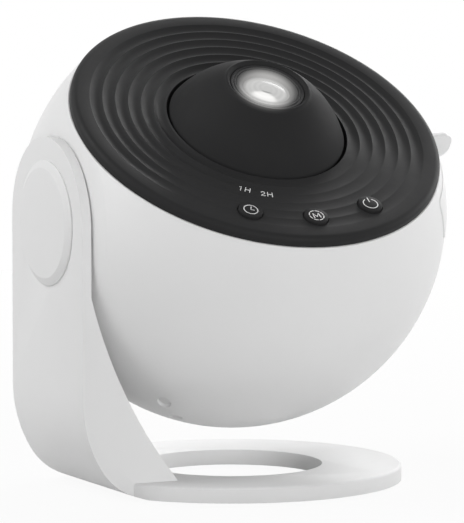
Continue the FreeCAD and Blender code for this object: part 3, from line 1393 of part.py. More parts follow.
def make_lamp():
    """Heat sink, lamp board and diode under a duct with the condenser in its upper end."""
    inner = "tube_radius - tube_wall"
    ledge = "tube_radius - 2 * tube_wall"
    lathe(
        "lamp_tube",
        [
            (inner, "chassis_top"),
            ("tube_radius", "chassis_top"),
            ("tube_radius", "lamp_deck_bottom"),
            (inner, "lamp_deck_bottom"),
            (inner, "condenser_seat"),
            (ledge, "condenser_seat"),
            (ledge, "condenser_seat - tube_wall"),
            (inner, "condenser_seat - 2 * tube_wall"),
        ],
        HEAD,
    )
    glass = "tube_radius - tube_wall - screw_play"
    lathe(
        "condenser_lens",
        [
            ("0", "condenser_seat"),
            (glass, "condenser_seat"),
            dome(glass, "condenser_seat + condenser_edge", "condenser_bulge"),
            ("0", "condenser_seat + condenser_edge + condenser_bulge"),
        ],
        HEAD,
    )
    rounds("lamp_board", "chassis_top", "board_thickness", [("0", "0", "lamp_board_radius")], HEAD)
    board_face = "chassis_top + board_thickness"
    foot = f"{board_face} + emitter_foot"
    lathe(
        "lamp_emitter",
        [
            ("0", board_face),
            ("emitter_radius + emitter_rim", board_face),
            ("emitter_radius + emitter_rim", foot),
            ("emitter_radius", foot),
            (
                "emitter_radius",
                f"{foot} + emitter_neck",
                "emitter_radius * cos(45)",
                f"{foot} + emitter_neck + emitter_radius * sin(45)",
            ),
            ("0", f"{foot} + emitter_neck + emitter_radius"),
        ],
        HEAD,
    )
    sink = body("heat_sink")
    block = circles(sketch(sink, "sink_block", "XY_Plane", "chassis_bottom"), ("0", "0", "sink_radius"))
    pad(sink, block, "sink_height", back=True)
    slots = sketch(sink, "sink_slots", "XY_Plane", "chassis_bottom - sink_height")
    count = int(number("fin_slots"))
    for index in range(count):
        middle = f"{index - (count - 1) / 2} * fin_pitch"
        left = f"{middle} - fin_gap / 2"
        rectangle(slots, left, f"{middle} + fin_gap / 2", "-2 * sink_radius", "2 * sink_radius")
    pocket(sink, slots, "sink_height - sink_base", forward=True)
    finish(sink, "heat_sink", HEAD)


def make_supply():
    """Supply board on feet at the back of the chassis plate, with the cable inlet at its edge."""
    board = body("power_board")
    half = "supply_width / 2"
    level = "chassis_top + supply_stand"
    plan = rectangle(
        sketch(board, "supply_plan", "XY_Plane", level), f"-{half}", half, "supply_front", "supply_back"
    )
    pad(board, plan, "board_thickness")
    feet = sketch(board, "supply_feet", "XY_Plane", "chassis_top")
    near = "supply_front + supply_foot_inset"
    far = "supply_back - supply_foot_back"
    across = f"({half} - supply_foot_inset)"
    circles(feet, *[(f"{a}{across}", y, "supply_foot_radius") for a in ("", "-") for y in (near, far)])
    pad(board, feet, "supply_stand + board_thickness / 2")
    parts = sketch(board, "supply_parts", "XY_Plane", f"{level} + board_thickness / 2")
    left = f"part_inset - {half}"
    front = "supply_front + part_inset"
    rectangle(parts, left, f"{left} + coil_side", front, f"{front} + coil_side")
    rectangle(parts, "0", "chip_side", front, f"{front} + chip_side")
    circles(parts, (f"{half} - can_radius - part_inset / 2", f"{front} + 2 * can_radius", "can_radius"))
    pad(board, parts, "board_thickness / 2 + part_height")
    finish(board, "power_board", HEAD)

    socket = body("power_socket")
    for label, inset, start, length, cut in (
        ("socket_case", "0", "-socket_end", "socket_length", False),
        ("socket_mouth", "socket_wall", "-socket_end", "socket_length - socket_back", True),
        (
            "socket_blade",
            "(socket_height - blade_thickness) / 2",
            "-socket_end + blade_inset",
            "socket_length - blade_inset - socket_back / 2",
            False,
        ),
    ):
        face = sketch(socket, label, "XZ_Plane", start)
        high = f"socket_top - ({inset})"
        low = f"socket_bottom + ({inset})"
        left = f"-socket_width / 2 + ({inset})"
        right = f"socket_width / 2 - ({inset})"
        rectangle(face, left, right, low, high)
        if cut:
            pocket(socket, face, length, forward=True)
        else:
            pad(socket, face, length)
    finish(socket, "power_socket", HEAD)


# ---------------------------------------------------------------- film tray and drive


def make_tray():
    """Drawer for the film ring, its two runners, and the curved door with the pull tab."""
    tray = body("film_tray")
    plan = sketch(tray, "tray_plan", "XY_Plane", "tray_bottom")
    rectangle(plan, "-tray_tail", "wall_radius", "-tray_half_width", "tray_half_width")
    pad(tray, plan, "tray_thickness")
    ribs = sketch(tray, "tray_ribs", "XY_Plane", "tray_bottom + (tray_thickness - tongue_thickness) / 2")
    reach = "tray_half_width + tongue_reach"
    rectangle(ribs, "-tray_tail", "wall_radius", f"-({reach})", reach)
    pad(tray, ribs, "tongue_thickness")
    seat = circles(
        sketch(tray, "ring_seat", "XY_Plane", "ledge_top"),
        ("0", "0", "ring_pitch + tooth_addendum + 5 * ring_play"),
    )
    pocket(tray, seat, "tray_thickness", forward=True)
    bore = circles(sketch(tray, "ledge_hole", "XY_Plane", "ledge_top"), ("0", "0", "ledge_bore"))
    pocket(tray, bore, "4 * ledge_thickness", middle=True)
    notch = sketch(tray, "pinion_notch_cut", "XY_Plane", "tray_bottom")
    rectangle(notch, "-2 * tray_tail", "-ledge_bore * 0.8", "-pinion_notch", "pinion_notch")
    pocket(tray, notch, "4 * tray_thickness", middle=True)
    trim = outline(
        sketch(tray, "tray_end"),
        [
            ("wall_radius", "0", "wall_radius * cos(25)", "wall_radius * sin(25)"),
            ("wall_radius * cos(50)", "wall_radius * sin(50)"),
            ("2 * globe_radius", "2 * globe_radius"),
            ("2 * globe_radius", "0"),
        ],
    )
    turned(tray, trim, "Groove")
    finish(tray, "film_tray", HEAD)

    for name, side in (("front_runner", "-"), ("rear_runner", "")):
        runner = body(name)
        bar = sketch(runner, f"{name}_end", "YZ_Plane", "-runner_inner_end")
        face = f"{side}(runner_face)"
        back = f"{side}(runner_face + runner_width)"
        floor = f"{side}(tray_half_width + tongue_reach + runner_gap)"
        low = "tray_bottom + (tray_thickness - tongue_thickness) / 2 - runner_gap"
        high = "tray_bottom + (tray_thickness + tongue_thickness) / 2 + runner_gap"
        outline(
            bar,
            [
                (face, "lamp_deck_top"),
                (back, "lamp_deck_top"),
                (back, "deck_bottom"),
                (face, "deck_bottom"),
                (face, high),
                (floor, high),
                (floor, low),
                (face, low),
            ],
        )
        pad(runner, bar, "runner_inner_end + runner_outer_end")
        finish(runner, name, HEAD)

    door = body("tray_door")
    plate = rounded_box(
        sketch(door, "door_front", "YZ_Plane", "globe_radius / 2"),
        "door_half_length",
        "door_low",
        "door_high",
        "door_round",
    )
    pad(door, plate, "globe_radius")
    skin = "(globe_radius + door_proud)"
    outside = outline(
        sketch(door, "door_outside"),
        [
            (f"{skin} * cos(30)", f"-{skin} * sin(30)", skin, "0"),
            (f"{skin} * cos(60)", f"{skin} * sin(60)"),
            ("2 * globe_radius", "2 * globe_radius"),
            ("2 * globe_radius", "-globe_radius"),
        ],
    )
    turned(door, outside, "Groove")
    upper_cut = "tab_upper_round * (1 - cos(45))"
    lower_cut = "tab_lower_round * (1 - cos(45))"
    root = "wall_radius - 2 * shell_wall"
    tab = outline(
        sketch(door, "pull_tab"),
        [
            (root, "tab_low"),
            (
                "tab_reach - tab_lower_round",
                "tab_low",
                f"tab_reach - {lower_cut}",
                f"tab_low + {lower_cut}",
            ),
            ("tab_reach", "tab_low + tab_lower_round"),
            (
                "tab_reach",
                "tab_top - tab_upper_round",
                f"tab_reach - {upper_cut}",
                f"tab_top - {upper_cut}",
            ),
            ("tab_reach - tab_upper_round", "tab_top"),
            (root, "tab_top"),
        ],
    )
    pad(door, tab, "tab_thickness", middle=True)
    inside = outline(
        sketch(door, "door_inside"),
        [
            ("0", "-wall_radius", "wall_radius", "0"),
            ("0", "wall_radius"),
        ],
    )
    turned(door, inside, "Groove")
    finish(door, "tray_door", HEAD)


def gear_outline(teeth, middle, turn):
    """Outline of an involute spur gear: each flank runs from root over the pitch circle to the tip."""
    size = number("tooth_size")
    pitch = size * teeth / 2
    pressure = math.radians(20)
    base = pitch * math.cos(pressure)
    half_pitch_tooth = (math.pi * size / 2 - number("tooth_play")) / (2 * pitch)

    def half_angle(radius):
        """Half of the tooth's angle at a radius."""
        lean = math.acos(min(1.0, base / radius))
        return half_pitch_tooth + math.tan(pressure) - pressure - (math.tan(lean) - lean)

    radii = (pitch - number("tooth_dedendum"), pitch, pitch + number("tooth_addendum"))
    flank = [(radius, half_angle(radius)) for radius in radii]
    points = []
    for tooth in range(teeth):
        centre = turn + 2 * math.pi * tooth / teeth
        for radius, half in flank:
            points.append((radius, centre - half))
        for radius, half in reversed(flank):
            points.append((radius, centre + half))
    corners = [Vector(middle + r * math.cos(a), r * math.sin(a), 0) for r, a in points]
    return Part.Face(Part.makePolygon(corners + corners[:1]))


def make_film_drive():
    """Gear ring that carries the film, the film, the pinion beside it and the pinion's motor."""
    low = number("ring_bottom")
    thick = number("ring_thickness")
    teeth = int(number("ring_teeth"))
    rim = gear_outline(teeth, 0, math.pi / teeth).extrude(Vector(0, 0, thick))
    rim.translate(Vector(0, 0, low))
    hub_low = number("tray_bottom + ring_play")
    hub_high = low - hub_low + thick / 2
    hub = Part.makeCylinder(number("ledge_bore - ring_play"), hub_high, Vector(0, 0, hub_low))
    bore = Part.makeCylinder(number("ring_bore"), 2 * thick, Vector(0, 0, low - thick / 2))
    seat_low = number("film_floor")
    seat = Part.makeCylinder(number("film_radius"), thick, Vector(0, 0, seat_low))
    ring = document.addObject("Part::Feature", "disc_ring")
    ring.Shape = rim.fuse(hub).cut(bore).cut(seat).removeSplitter()
    finish(ring, "disc_ring", HEAD)
    rounds("film_slide", "film_floor", "film_thickness", [("0", "0", "film_radius - ring_play")], HEAD)

    axis_x = number("-ring_pitch - pinion_pitch")
    pinion_low = number("ring_bottom + (ring_thickness - pinion_thickness) / 2")
    pinion_thick = number("pinion_thickness")
    wheel = gear_outline(int(number("pinion_teeth")), axis_x, 0).extrude(Vector(0, 0, pinion_thick))
    wheel.translate(Vector(0, 0, pinion_low))
    hole_radius = number("motor_shaft_radius + slip_gap / 2")
    hole = Part.makeCylinder(hole_radius, 3 * pinion_thick, Vector(axis_x, 0, pinion_low - pinion_thick))
    pinion = document.addObject("Part::Feature", "drive_pinion")
    pinion.Shape = wheel.cut(hole)
    finish(pinion, "drive_pinion", HEAD)

    centre = "-ring_pitch - pinion_pitch"
    shaft_low = "lamp_deck_bottom - motor_length / 2"
    rounds(
        "motor_shaft",
        shaft_low,
        f"ring_bottom + ring_thickness - ({shaft_low})",
        [(centre, "0", "motor_shaft_radius")],
        HEAD,
    )

    motor = body("drive_motor")
    case = sketch(motor, "motor_case", "XY_Plane", "lamp_deck_bottom")
    pad(motor, circles(case, (centre, "0", "motor_radius")), "motor_length", back=True)
    nose = sketch(motor, "motor_nose", "XY_Plane", "lamp_deck_bottom")
    pad(motor, circles(nose, (centre, "0", "motor_boss_radius")), "deck_thickness - snap_gap")
    well = circles(
        sketch(motor, "motor_bore", "XY_Plane", f"{shaft_low} - slip_gap"),
        (centre, "0", "motor_shaft_radius + slip_gap"),
    )
    pocket(motor, well, "2 * motor_length", forward=True)
    finish(motor, "drive_motor", HEAD)


make_stand_frame()
make_base_pad()
make_pivot()
make_shell("front_shell", True, PLUGS)
make_shell("rear_shell", False, REAR_SCREWS)
make_plugs()
make_top_plate()
make_buttons()
make_button_board()
make_focus_cone()
make_lens()
make_decks()
make_lamp()
make_supply()
make_tray()
make_film_drive()
document.recompute()

faults = [thing.Label for thing in document.Objects if {"Invalid", "Error"} & set(thing.State)]
if faults:
    raise RuntimeError(f"these features failed: {faults}")
for piece in finished:
    if piece.Shape.isNull() or not piece.Shape.isValid() or not piece.Shape.Solids:
        raise RuntimeError(f"{piece.Label} has no valid solid")

os.makedirs("parts", exist_ok=True)
for piece in finished:
    piece.Shape.exportStep(os.path.join("parts", f"{piece.Label}.step"))
    print(f"{piece.Label}: {len(piece.Shape.Solids)} solids, {piece.Shape.Volume:.0f} mm3")
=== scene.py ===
"""Looks of a planetarium projector: a white globe that tilts in a one-armed stand, with a rippled
black plate, a focus cone, a film tray and three push buttons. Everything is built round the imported
frame. Sizes are in millimetres unless a docstring says metres."""

import json
import logging
import math
from dataclasses import dataclass, field
from enum import Enum
from typing import Callable, Sequence

import bmesh
import bpy
from mathutils import Matrix, Vector


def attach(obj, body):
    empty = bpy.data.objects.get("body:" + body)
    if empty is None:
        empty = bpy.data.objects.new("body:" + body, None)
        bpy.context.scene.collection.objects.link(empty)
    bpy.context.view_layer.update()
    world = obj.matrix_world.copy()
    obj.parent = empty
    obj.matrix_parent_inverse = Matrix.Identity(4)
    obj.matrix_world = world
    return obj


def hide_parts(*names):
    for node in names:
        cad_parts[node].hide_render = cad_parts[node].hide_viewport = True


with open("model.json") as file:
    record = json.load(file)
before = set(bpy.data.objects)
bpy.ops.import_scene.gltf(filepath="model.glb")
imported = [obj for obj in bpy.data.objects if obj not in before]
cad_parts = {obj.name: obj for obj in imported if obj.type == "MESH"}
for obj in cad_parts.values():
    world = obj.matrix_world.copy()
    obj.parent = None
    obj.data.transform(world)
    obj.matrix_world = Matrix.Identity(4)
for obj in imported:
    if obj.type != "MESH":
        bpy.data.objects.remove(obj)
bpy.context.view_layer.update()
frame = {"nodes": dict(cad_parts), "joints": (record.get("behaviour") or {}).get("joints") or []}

log = logging.getLogger("projector")
MM = 0.001
TURN = 2 * math.pi
WELD = 0.002  # points nearer than this are one point
CREASE = math.radians(38)  # an edge sharper than this shows as an edge
Point2 = tuple[float, float]
Point3 = tuple[float, float, float]
Colour = tuple[float, float, float]
Lines = list[list[Point2]]
Piece = bpy.types.Object
Socket = bpy.types.NodeSocket
Feed = Socket | float | Colour


# ---- where things are

JOINTS = {joint["name"]: joint for joint in frame["joints"]}
PIVOT = Vector(JOINTS["head_tilt"]["pos_m"])
UP = JOINTS["focus_turn"]["axis"]
LEAN = math.atan2(-UP[1], UP[2])
HEAD = Matrix.Translation(PIVOT) @ Matrix.Rotation(LEAN, 4, "X") @ Matrix.Scale(MM, 4)  # mm to metres


# ---- making meshes


def along(points: Sequence[Point2]) -> list[float]:
    """How far along a closed outline each of its points lies.

    Args:
        points: the outline's points.

    Returns:
        The distance of each point from the first, and the whole length at the end.
    """
    marks = [0.0]
    for a, b in zip(points, [*points[1:], points[0]]):
        marks.append(marks[-1] + math.dist(a, b))
    return marks


@dataclass
class Outline:
    """A closed outline in millimetres that is laid corner by corner; a corner can be eased."""

    spots: list[Point2] = field(default_factory=list)
    eases: dict[int, float] = field(default_factory=dict)

    def to(self, across: float, up: float, ease: float = 0.0) -> "Outline":
        """Lay a straight stretch to a corner.

        Args:
            across: the corner's radius or first coordinate.
            up: the corner's height or second coordinate.
            ease: how far from the corner its rounding starts.

        Returns:
            This outline.
        """
        if ease:
            self.eases[len(self.spots)] = ease
        self.spots.append((across, up))
        return self

    def bend(self, via: Point2, end: Point2, steps: int, ease: float = 0.0) -> "Outline":
        """Lay a circular stretch from the last corner.

        Args:
            via: a point half way along the arc.
            end: where the arc ends.
            steps: how many straight pieces the arc becomes.
            ease: how far from the end its rounding starts.

        Returns:
            This outline.
        """
        start = self.spots[-1]
        centre = circle_through(start, via, end)
        first, middle, last = (
            math.atan2(up - centre[1], across - centre[0]) for across, up in (start, via, end)
        )
        sweep = (last - first) % TURN
        if (middle - first) % TURN > sweep:
            sweep -= TURN
        ends = math.degrees(first), math.degrees(first + sweep)
        self.spots += arc(centre, math.dist(centre, start), *ends, steps)[1:-1]
        return self.to(*end, ease)

    def points(self, steps: int = 4) -> list[Point2]:
        """The outline with its eased corners rounded.

        Args:
            steps: how many pieces each rounded corner becomes.

        Returns:
            The points in order.
        """
        marks = along(self.spots)
        whole = marks[-1]
        taken = [(marks[i], ease) for i, ease in self.eases.items()]
        laid: list[tuple[float, Point2]] = []
        just_inside = 0.999
        for place, spot in zip(marks, self.spots):
            if all(min((place - m) % whole, (m - place) % whole) >= e * just_inside for m, e in taken):
                laid.append((place, spot))
        for index, ease in self.eases.items():
            corner = self.spots[index]
            before, after = self.at(marks[index] - ease), self.at(marks[index] + ease)
            for step in range(steps + 1):
                t = step / steps
                parts = zip(before, corner, after)
                mixed = tuple((1 - t) ** 2 * a + 2 * t * (1 - t) * b + t**2 * c for a, b, c in parts)
                laid.append(((marks[index] + ease * (2 * t - 1)) % whole, mixed))
        return [spot for place, spot in sorted(laid)]

    def at(self, place: float) -> Point2:
        """The point a distance along the outline.

        Args:
            place: the distance from the first corner, which may be negative.

        Returns:
            The point there.
        """
        marks = along(self.spots)
        place %= marks[-1]
        index = max(i for i, mark in enumerate(marks[:-1]) if mark <= place)
        a, b = self.spots[index], self.spots[(index + 1) % len(self.spots)]
        t = (place - marks[index]) / max(1e-9, math.dist(a, b))
        return (a[0] + (b[0] - a[0]) * t, a[1] + (b[1] - a[1]) * t)


def ease(share: float) -> float:
    """A share held between 0 and 1, with soft ends."""
    held = min(1.0, max(0.0, share))
    return held * held * (3 - 2 * held)


def circle_through(a: Point2, b: Point2, c: Point2) -> Point2:
    """The centre of the circle through three points.

    Args:
        a: the first point.
        b: the second point.
        c: the third point.

    Returns:
        The circle's centre.
    """
    first, side, other = complex(*a), complex(*b) - complex(*a), complex(*c) - complex(*a)
    ratio = other / side
    centre = first + side * (ratio - abs(ratio) ** 2) / (2j * ratio.imag)
    return (centre.real, centre.imag)


def put_in_scene(name: str, data: bpy.types.ID) -> Piece:
    """An object of its own for a mesh, a lamp or a camera.

    Args:
        name: the object's name.
        data: what the object holds.

    Returns:
        The object, at the part's origin.
    """
    made = bpy.data.objects.new(name, data)
    bpy.context.scene.collection.objects.link(made)
    return made


def piece_from(name: str, spots: Sequence[Point3], faces: Sequence[Sequence[int]]) -> Piece:
    """A mesh object from points and faces, with its normals set outwards.

    Args:
        name: the piece's name.
        spots: points in the head's own millimetres, with z along the cone's axis.
        faces: point indices of each face.

    Returns:
        The object, at the part's origin and in metres.
    """
    mesh = bpy.data.meshes.new(name)
    mesh.from_pydata(spots, [], faces)
    mesh.transform(HEAD)
    work = bmesh.new()
    work.from_mesh(mesh)
    bmesh.ops.remove_doubles(work, verts=work.verts, dist=WELD * MM)
    bmesh.ops.recalc_face_normals(work, faces=work.faces)
    work.to_mesh(mesh)
    work.free()
    made = put_in_scene(name, mesh)
    smooth(made)
    return made


def smooth(piece: Piece, crease: float = CREASE) -> None:
    """Smooth shading, with edges sharp from the crease angle on."""
    piece.data.shade_smooth()
    piece.data.set_sharp_from_angle(angle=crease)


def turned(
    name: str, outline: Sequence[Point2] | Callable[[float], Sequence[Point2]], steps: int
) -> Piece:
    """A piece turned about the cone's axis.

    Args:
        name: the piece's name.
        outline: closed outline of (radius, height), or a function that gives it for an azimuth.
        steps: how many sections the turn has.

    Returns:
        The object.
    """
    spots, index = [], {}
    for step in range(steps):
        azimuth = TURN * step / steps
        section = outline(azimuth) if callable(outline) else outline
        for k, (radius, height) in enumerate(section):
            if radius < 1e-6 and step:
                index[(step, k)] = index[(0, k)]
                continue
            index[(step, k)] = len(spots)
            spots.append((radius * math.cos(azimuth), radius * math.sin(azimuth), height))
    count = len(section)
    faces = []
    for step in range(steps):
        for k in range(count):
            around, onward = (step + 1) % steps, (k + 1) % count
            corners = [(step, k), (around, k), (around, onward), (step, onward)]
            unique = list(dict.fromkeys(index[corner] for corner in corners))
            if len(unique) > 2:
                faces.append(unique)
    return piece_from(name, spots, faces)


def slab(name: str, outline: Sequence[Point2], low: float, high: float) -> Piece:
    """A flat piece with upright sides, in the head's frame.

    Args:
        name: the piece's name.
        outline: its closed plan.
        low: height of its underside.
        high: height of its face.

    Returns:
        The object.
    """
    count = len(outline)
    spots = [(x, y, z) for z in (low, high) for x, y in outline]
    faces = [list(range(count))[::-1], [count + i for i in range(count)]]
    faces += [[i, (i + 1) % count, count + (i + 1) % count, count + i] for i in range(count)]
    return piece_from(name, spots, faces)


def arc(middle: Point2, radius: float, start: float, end: float, steps: int) -> list[Point2]:
    """Points of an arc, both ends among them.

    Args:
        middle: the arc's centre.
        radius: the arc's radius.
        start: its first angle, in degrees counter-clockwise from the first axis.
        end: its last angle.
        steps: how many stretches.

    Returns:
        The arc's points.
    """
    angles = [math.radians(start + (end - start) * i / steps) for i in range(steps + 1)]
    return [(middle[0] + radius * math.cos(a), middle[1] + radius * math.sin(a)) for a in angles]


def carve(piece: Piece, cutters: Sequence[Piece], operation: str) -> None:
    """Cut pieces out of a piece, or join them to it, and use them up.

    Args:
        piece: the piece that changes.
        cutters: closed pieces.
        operation: the boolean's operation.
    """
    for cutter in cutters:
        change = piece.modifiers.new("carve", "BOOLEAN")
        change.operation, change.solver, change.object = operation, "EXACT", cutter
    bpy.context.view_layer.update()
    shaped = piece.evaluated_get(bpy.context.evaluated_depsgraph_get())
    mesh = bpy.data.meshes.new_from_object(shaped)
    piece.modifiers.clear()
    piece.data = mesh
    mesh.name = piece.name
    for cutter in cutters:
        bpy.data.objects.remove(cutter)


ROUND = {"segments": 3, "profile": 0.5, "affect": "EDGES", "clamp_overlap": True}


def softened(
    node: str, name: str, width: float, crease: float = math.radians(30), crisp_side: float | None = None
) -> Piece:
    """A copy of a CAD node with its sharp edges rounded off, as a mould leaves them.

    Args:
        node: the CAD node's name.
        name: the new piece's name.
        width: how wide the rounding is.
        crease: the angle from which an edge is rounded.
        crisp_side: the x of a side whose rim is rounded by a fifth of that only.

    Returns:
        The new piece.
    """
    work = bmesh.new()
    work.from_mesh(frame["nodes"][node].data)
    bmesh.ops.remove_doubles(work, verts=work.verts, dist=WELD * MM)
    flat, near = math.radians(0.4), 0.01 * MM
    bmesh.ops.dissolve_limit(work, angle_limit=flat, verts=work.verts, edges=work.edges)
    plane = math.inf if crisp_side is None else crisp_side * MM
    for on_plane, offset in ((False, width), (True, width / 5)):
        edges = [e for e in work.edges if len(e.link_faces) == 2 and e.calc_face_angle(0.0) > crease]
        edges = [e for e in edges if all(abs(v.co.x - plane) < near for v in e.verts) == on_plane]
        bmesh.ops.bevel(work, geom=edges, offset=offset * MM, **ROUND)
        if crisp_side is None:
            break
    mesh = bpy.data.meshes.new(name)
    work.to_mesh(mesh)
    work.free()
    made = put_in_scene(name, mesh)
    smooth(made, crease)
    return made


def mount(piece: Piece, body: str, finish: "Finish", slot: str, *nodes: str) -> None:
    """Dress a new piece and let it ride.

    Args:
        piece: the finished mesh.
        body: the body that carries it.
        finish: its finish.
        slot: the record's slot; not used.
        nodes: the CAD nodes that it stands for.
    """
    finish.dress(piece)
    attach(piece, body)
    if nodes:
        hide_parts(*nodes)
    log.info("%s rides on %s", piece.name, body)


# ---- finishes


class Nodes:
    """A short hand for building the node tree of a material or a world."""

    def __init__(self, owner: bpy.types.Material | bpy.types.World, shader: str = "Principled BSDF") -> None:
        """Start on a tree as Blender hands it out, with one shader.

        Args:
            owner: the material or world.
            shader: the name of that shader's node.
        """
        owner.use_nodes = True
        self.owner = owner
        self.tree = owner.node_tree
        self.shader = self.tree.nodes[shader]

    def add(self, kind: str, **values: object) -> bpy.types.Node:
        """Add a node and give it its properties and inputs.

        Args:
            kind: the node type without its ShaderNode prefix.
            values: property names, or input names with spaces as underscores.

        Returns:
            The new node.
        """
        node = self.tree.nodes.new(f"ShaderNode{kind}")
        for name, value in values.items():
            if hasattr(node, name):
                setattr(node, name, value)
            else:
                self.link(value, node.inputs[name.replace("_", " ")])
        return node

    def link(self, source: Feed, target: Socket) -> None:
        """Give an input its source.

        Args:
            source: another node's output, or the input's own number or colour.
            target: the input.
        """
        if isinstance(source, Socket):
            self.tree.links.new(source, target)
        else:
            target.default_value = (*source, 1) if isinstance(source, tuple) else source

    def feed(self, source: Feed, target: str) -> None:
        """Give one of the shader's inputs its source."""
        self.link(source, self.shader.inputs[target])

    def pattern(self, kind: str, grain: float, **values: float) -> bpy.types.Node:
        """A pattern on the object's own coordinates, with grains of a size in millimetres."""
        where = self.add("TexCoord").outputs["Object"]
        return self.add(kind, Vector=where, Scale=1 / (grain * MM), **values)

    def noise(self, grain: float, detail: float) -> Socket:
        """The factor of a noise with a number of octaves."""
        return self.pattern("TexNoise", grain, Detail=detail).outputs["Fac"]

    def reckon(self, operation: str, first: Feed, second: Feed) -> Socket:
        """A sum on two values.

        Args:
            operation: the Math node's operation.
            first: the first value.
            second: the second value.

        Returns:
            The result.
        """
        node = self.add("Math", operation=operation)
        for source, target in zip((first, second), node.inputs):
            self.link(source, target)
        return node.outputs["Value"]

    def mix(self, factor: Socket, low: Feed, high: Feed) -> Socket:
        """A blend of two colours.

        Args:
            factor: how far from the first to the second.
            low: the first colour.
            high: the second colour.

        Returns:
            The blended colour.
        """
        node = self.add("Mix", data_type="RGBA")
        ends = {"Factor_Float": factor, "A_Color": low, "B_Color": high}
        for socket in node.inputs:
            if socket.identifier in ends:
                self.link(ends[socket.identifier], socket)
        return next(socket for socket in node.outputs if socket.type == "RGBA")

    def blend(self, factor: Socket, first: Socket, second: Socket) -> None:
        """Send a blend of two shaders to the tree's output.

        Args:
            factor: how far from the first to the second.
            first: the first shader.
            second: the second shader.
        """
        node = self.add("MixShader")
        for source, target in zip((factor, first, second), node.inputs):
            self.link(source, target)
        output = next(n for n in self.tree.nodes if n.type.startswith("OUTPUT"))
        self.link(node.outputs["Shader"], output.inputs["Surface"])

    def seen(self) -> Socket:
        """Which rays show things: the camera's, also by gloss or through glass, and not the light's.

        Returns:
            1 for a ray that shows things, else 0.
        """
        rays = self.add("LightPath").outputs
        seen = self.reckon("MAXIMUM", rays["Is Camera Ray"], rays["Is Glossy Ray"])
        return self.reckon("MAXIMUM", seen, rays["Is Transmission Ray"])

    def bump(self, grain: Socket, strength: float, height: float) -> None:
        """Let a grain stand out of the surface by a height in millimetres."""
        node = self.add("Bump", Strength=strength, Distance=height * MM, Height=grain)
        self.feed(node.outputs["Normal"], "Normal")

    def spread(self, value: Socket, source: Point2, target: Point2) -> Socket:
        """Bring a value from one range to another.

        Args:
            value: what comes in.
            source: the lowest and highest value that comes in.
            target: what those two become.

        Returns:
            The value in its new range.
        """
        ends = dict(zip(("From_Min", "From_Max", "To_Min", "To_Max"), source + target))
        return self.add("MapRange", Value=value, **ends).outputs["Result"]

    def between(self, factor: Socket, low: float, high: float) -> Socket:
        """Spread the middle half of a factor from 0 to 1 over a range."""
        return self.spread(factor, (0.25, 0.75), (low, high))


class Coating:
    """What every finish can do, whatever it is made of."""

    def material(self) -> bpy.types.Material:
        """Build the material once and hand out the same one afterwards."""
        return bpy.data.materials.get(f"finish_{self.name}") or self.build().owner

    def start(self) -> Nodes:
        """The node tree of a new material under this finish's name."""
        return Nodes(bpy.data.materials.new(f"finish_{self.name}"))

    def build(self) -> Nodes:
        """Make the node tree; every finish has its own way."""
        raise NotImplementedError


@dataclass(frozen=True)
class Moulded(Coating):
    """Plastic, rubber, metal or board: a body colour with faint clouds, uneven gloss and a fine grain."""

    name: str
    colour: Colour
    roughness: float = 0.5
    cloud: float = 0.02
    cloud_mm: float = 18.0
    gloss_change: float = 0.04
    grain_mm: float = 0.35
    grain_height: float = 0.12
    specular: float = 0.5
    coat: float = 0.0
    metallic: float = 0.0

    def build(self) -> Nodes:
        """Make the node tree.

        Returns:
            The nodes, for a finish built on this one.
        """
        nodes = self.start()
        nodes.feed(self.metallic, "Metallic")
        nodes.feed(self.specular, "Specular IOR Level")
        nodes.feed(self.coat, "Coat Weight")
        dark, pale = (tuple(min(1.0, c * (1 + way * self.cloud)) for c in self.colour) for way in (-1, 1))
        nodes.feed(nodes.mix(nodes.noise(self.cloud_mm, 2.0), dark, pale), "Base Color")
        wear = nodes.noise(self.cloud_mm / 6, 4.0)
        low, high = self.roughness - self.gloss_change, self.roughness + self.gloss_change
        nodes.feed(nodes.between(wear, low, high), "Roughness")
        nodes.bump(nodes.noise(self.grain_mm, 2.0), self.grain_height, self.grain_mm / 5)
        return nodes


@dataclass(frozen=True)
class Clear(Coating):
    """Clear moulded or ground glass with a trace of dust in its gloss."""

    name: str
    colour: Colour = (0.96, 0.98, 1.0)
    roughness: float = 0.04
    ior: float = 1.49
    clarity: float = 1.0

    def build(self) -> Nodes:
        """Make the node tree.

        Returns:
            The nodes of the clear material.
        """
        nodes = self.start()
        nodes.feed(self.colour, "Base Color")
        nodes.feed(self.clarity, "Transmission Weight")
        nodes.feed(self.ior, "IOR")
        dust = nodes.noise(4.0, 5.0)
        nodes.feed(nodes.between(dust, self.roughness * 0.6, self.roughness * 1.6), "Roughness")
        nodes.bump(nodes.noise(1.5, 3.0), 0.02, 0.05)
        return nodes


@dataclass(frozen=True)
class Starred(Clear):
    """Dark printed film with clear stars of mixed size and a faint band of cloud."""

    star_mm: float = 1.8
    star_size: float = 0.26
    cloud_mm: float = 9.0
    cloud_colour: Colour = (0.045, 0.045, 0.12)

    def build(self) -> Nodes:
        """Print the sky on the clear film.

        Returns:
            The nodes of the film.
        """
        nodes = super().build()
        cells = nodes.pattern("TexVoronoi", self.star_mm)
        chance = nodes.add("SeparateColor", Color=cells.outputs["Color"])
        size = nodes.reckon("MULTIPLY", chance.outputs["Red"], self.star_size)
        star = nodes.reckon("LESS_THAN", cells.outputs["Distance"], size)
        faint = nodes.between(nodes.noise(self.cloud_mm, 4.0), 0.0, 1.0)
        sky = nodes.mix(faint, self.colour, self.cloud_colour)
        nodes.feed(nodes.mix(star, sky, (1.0, 1.0, 1.0)), "Base Color")
        return nodes


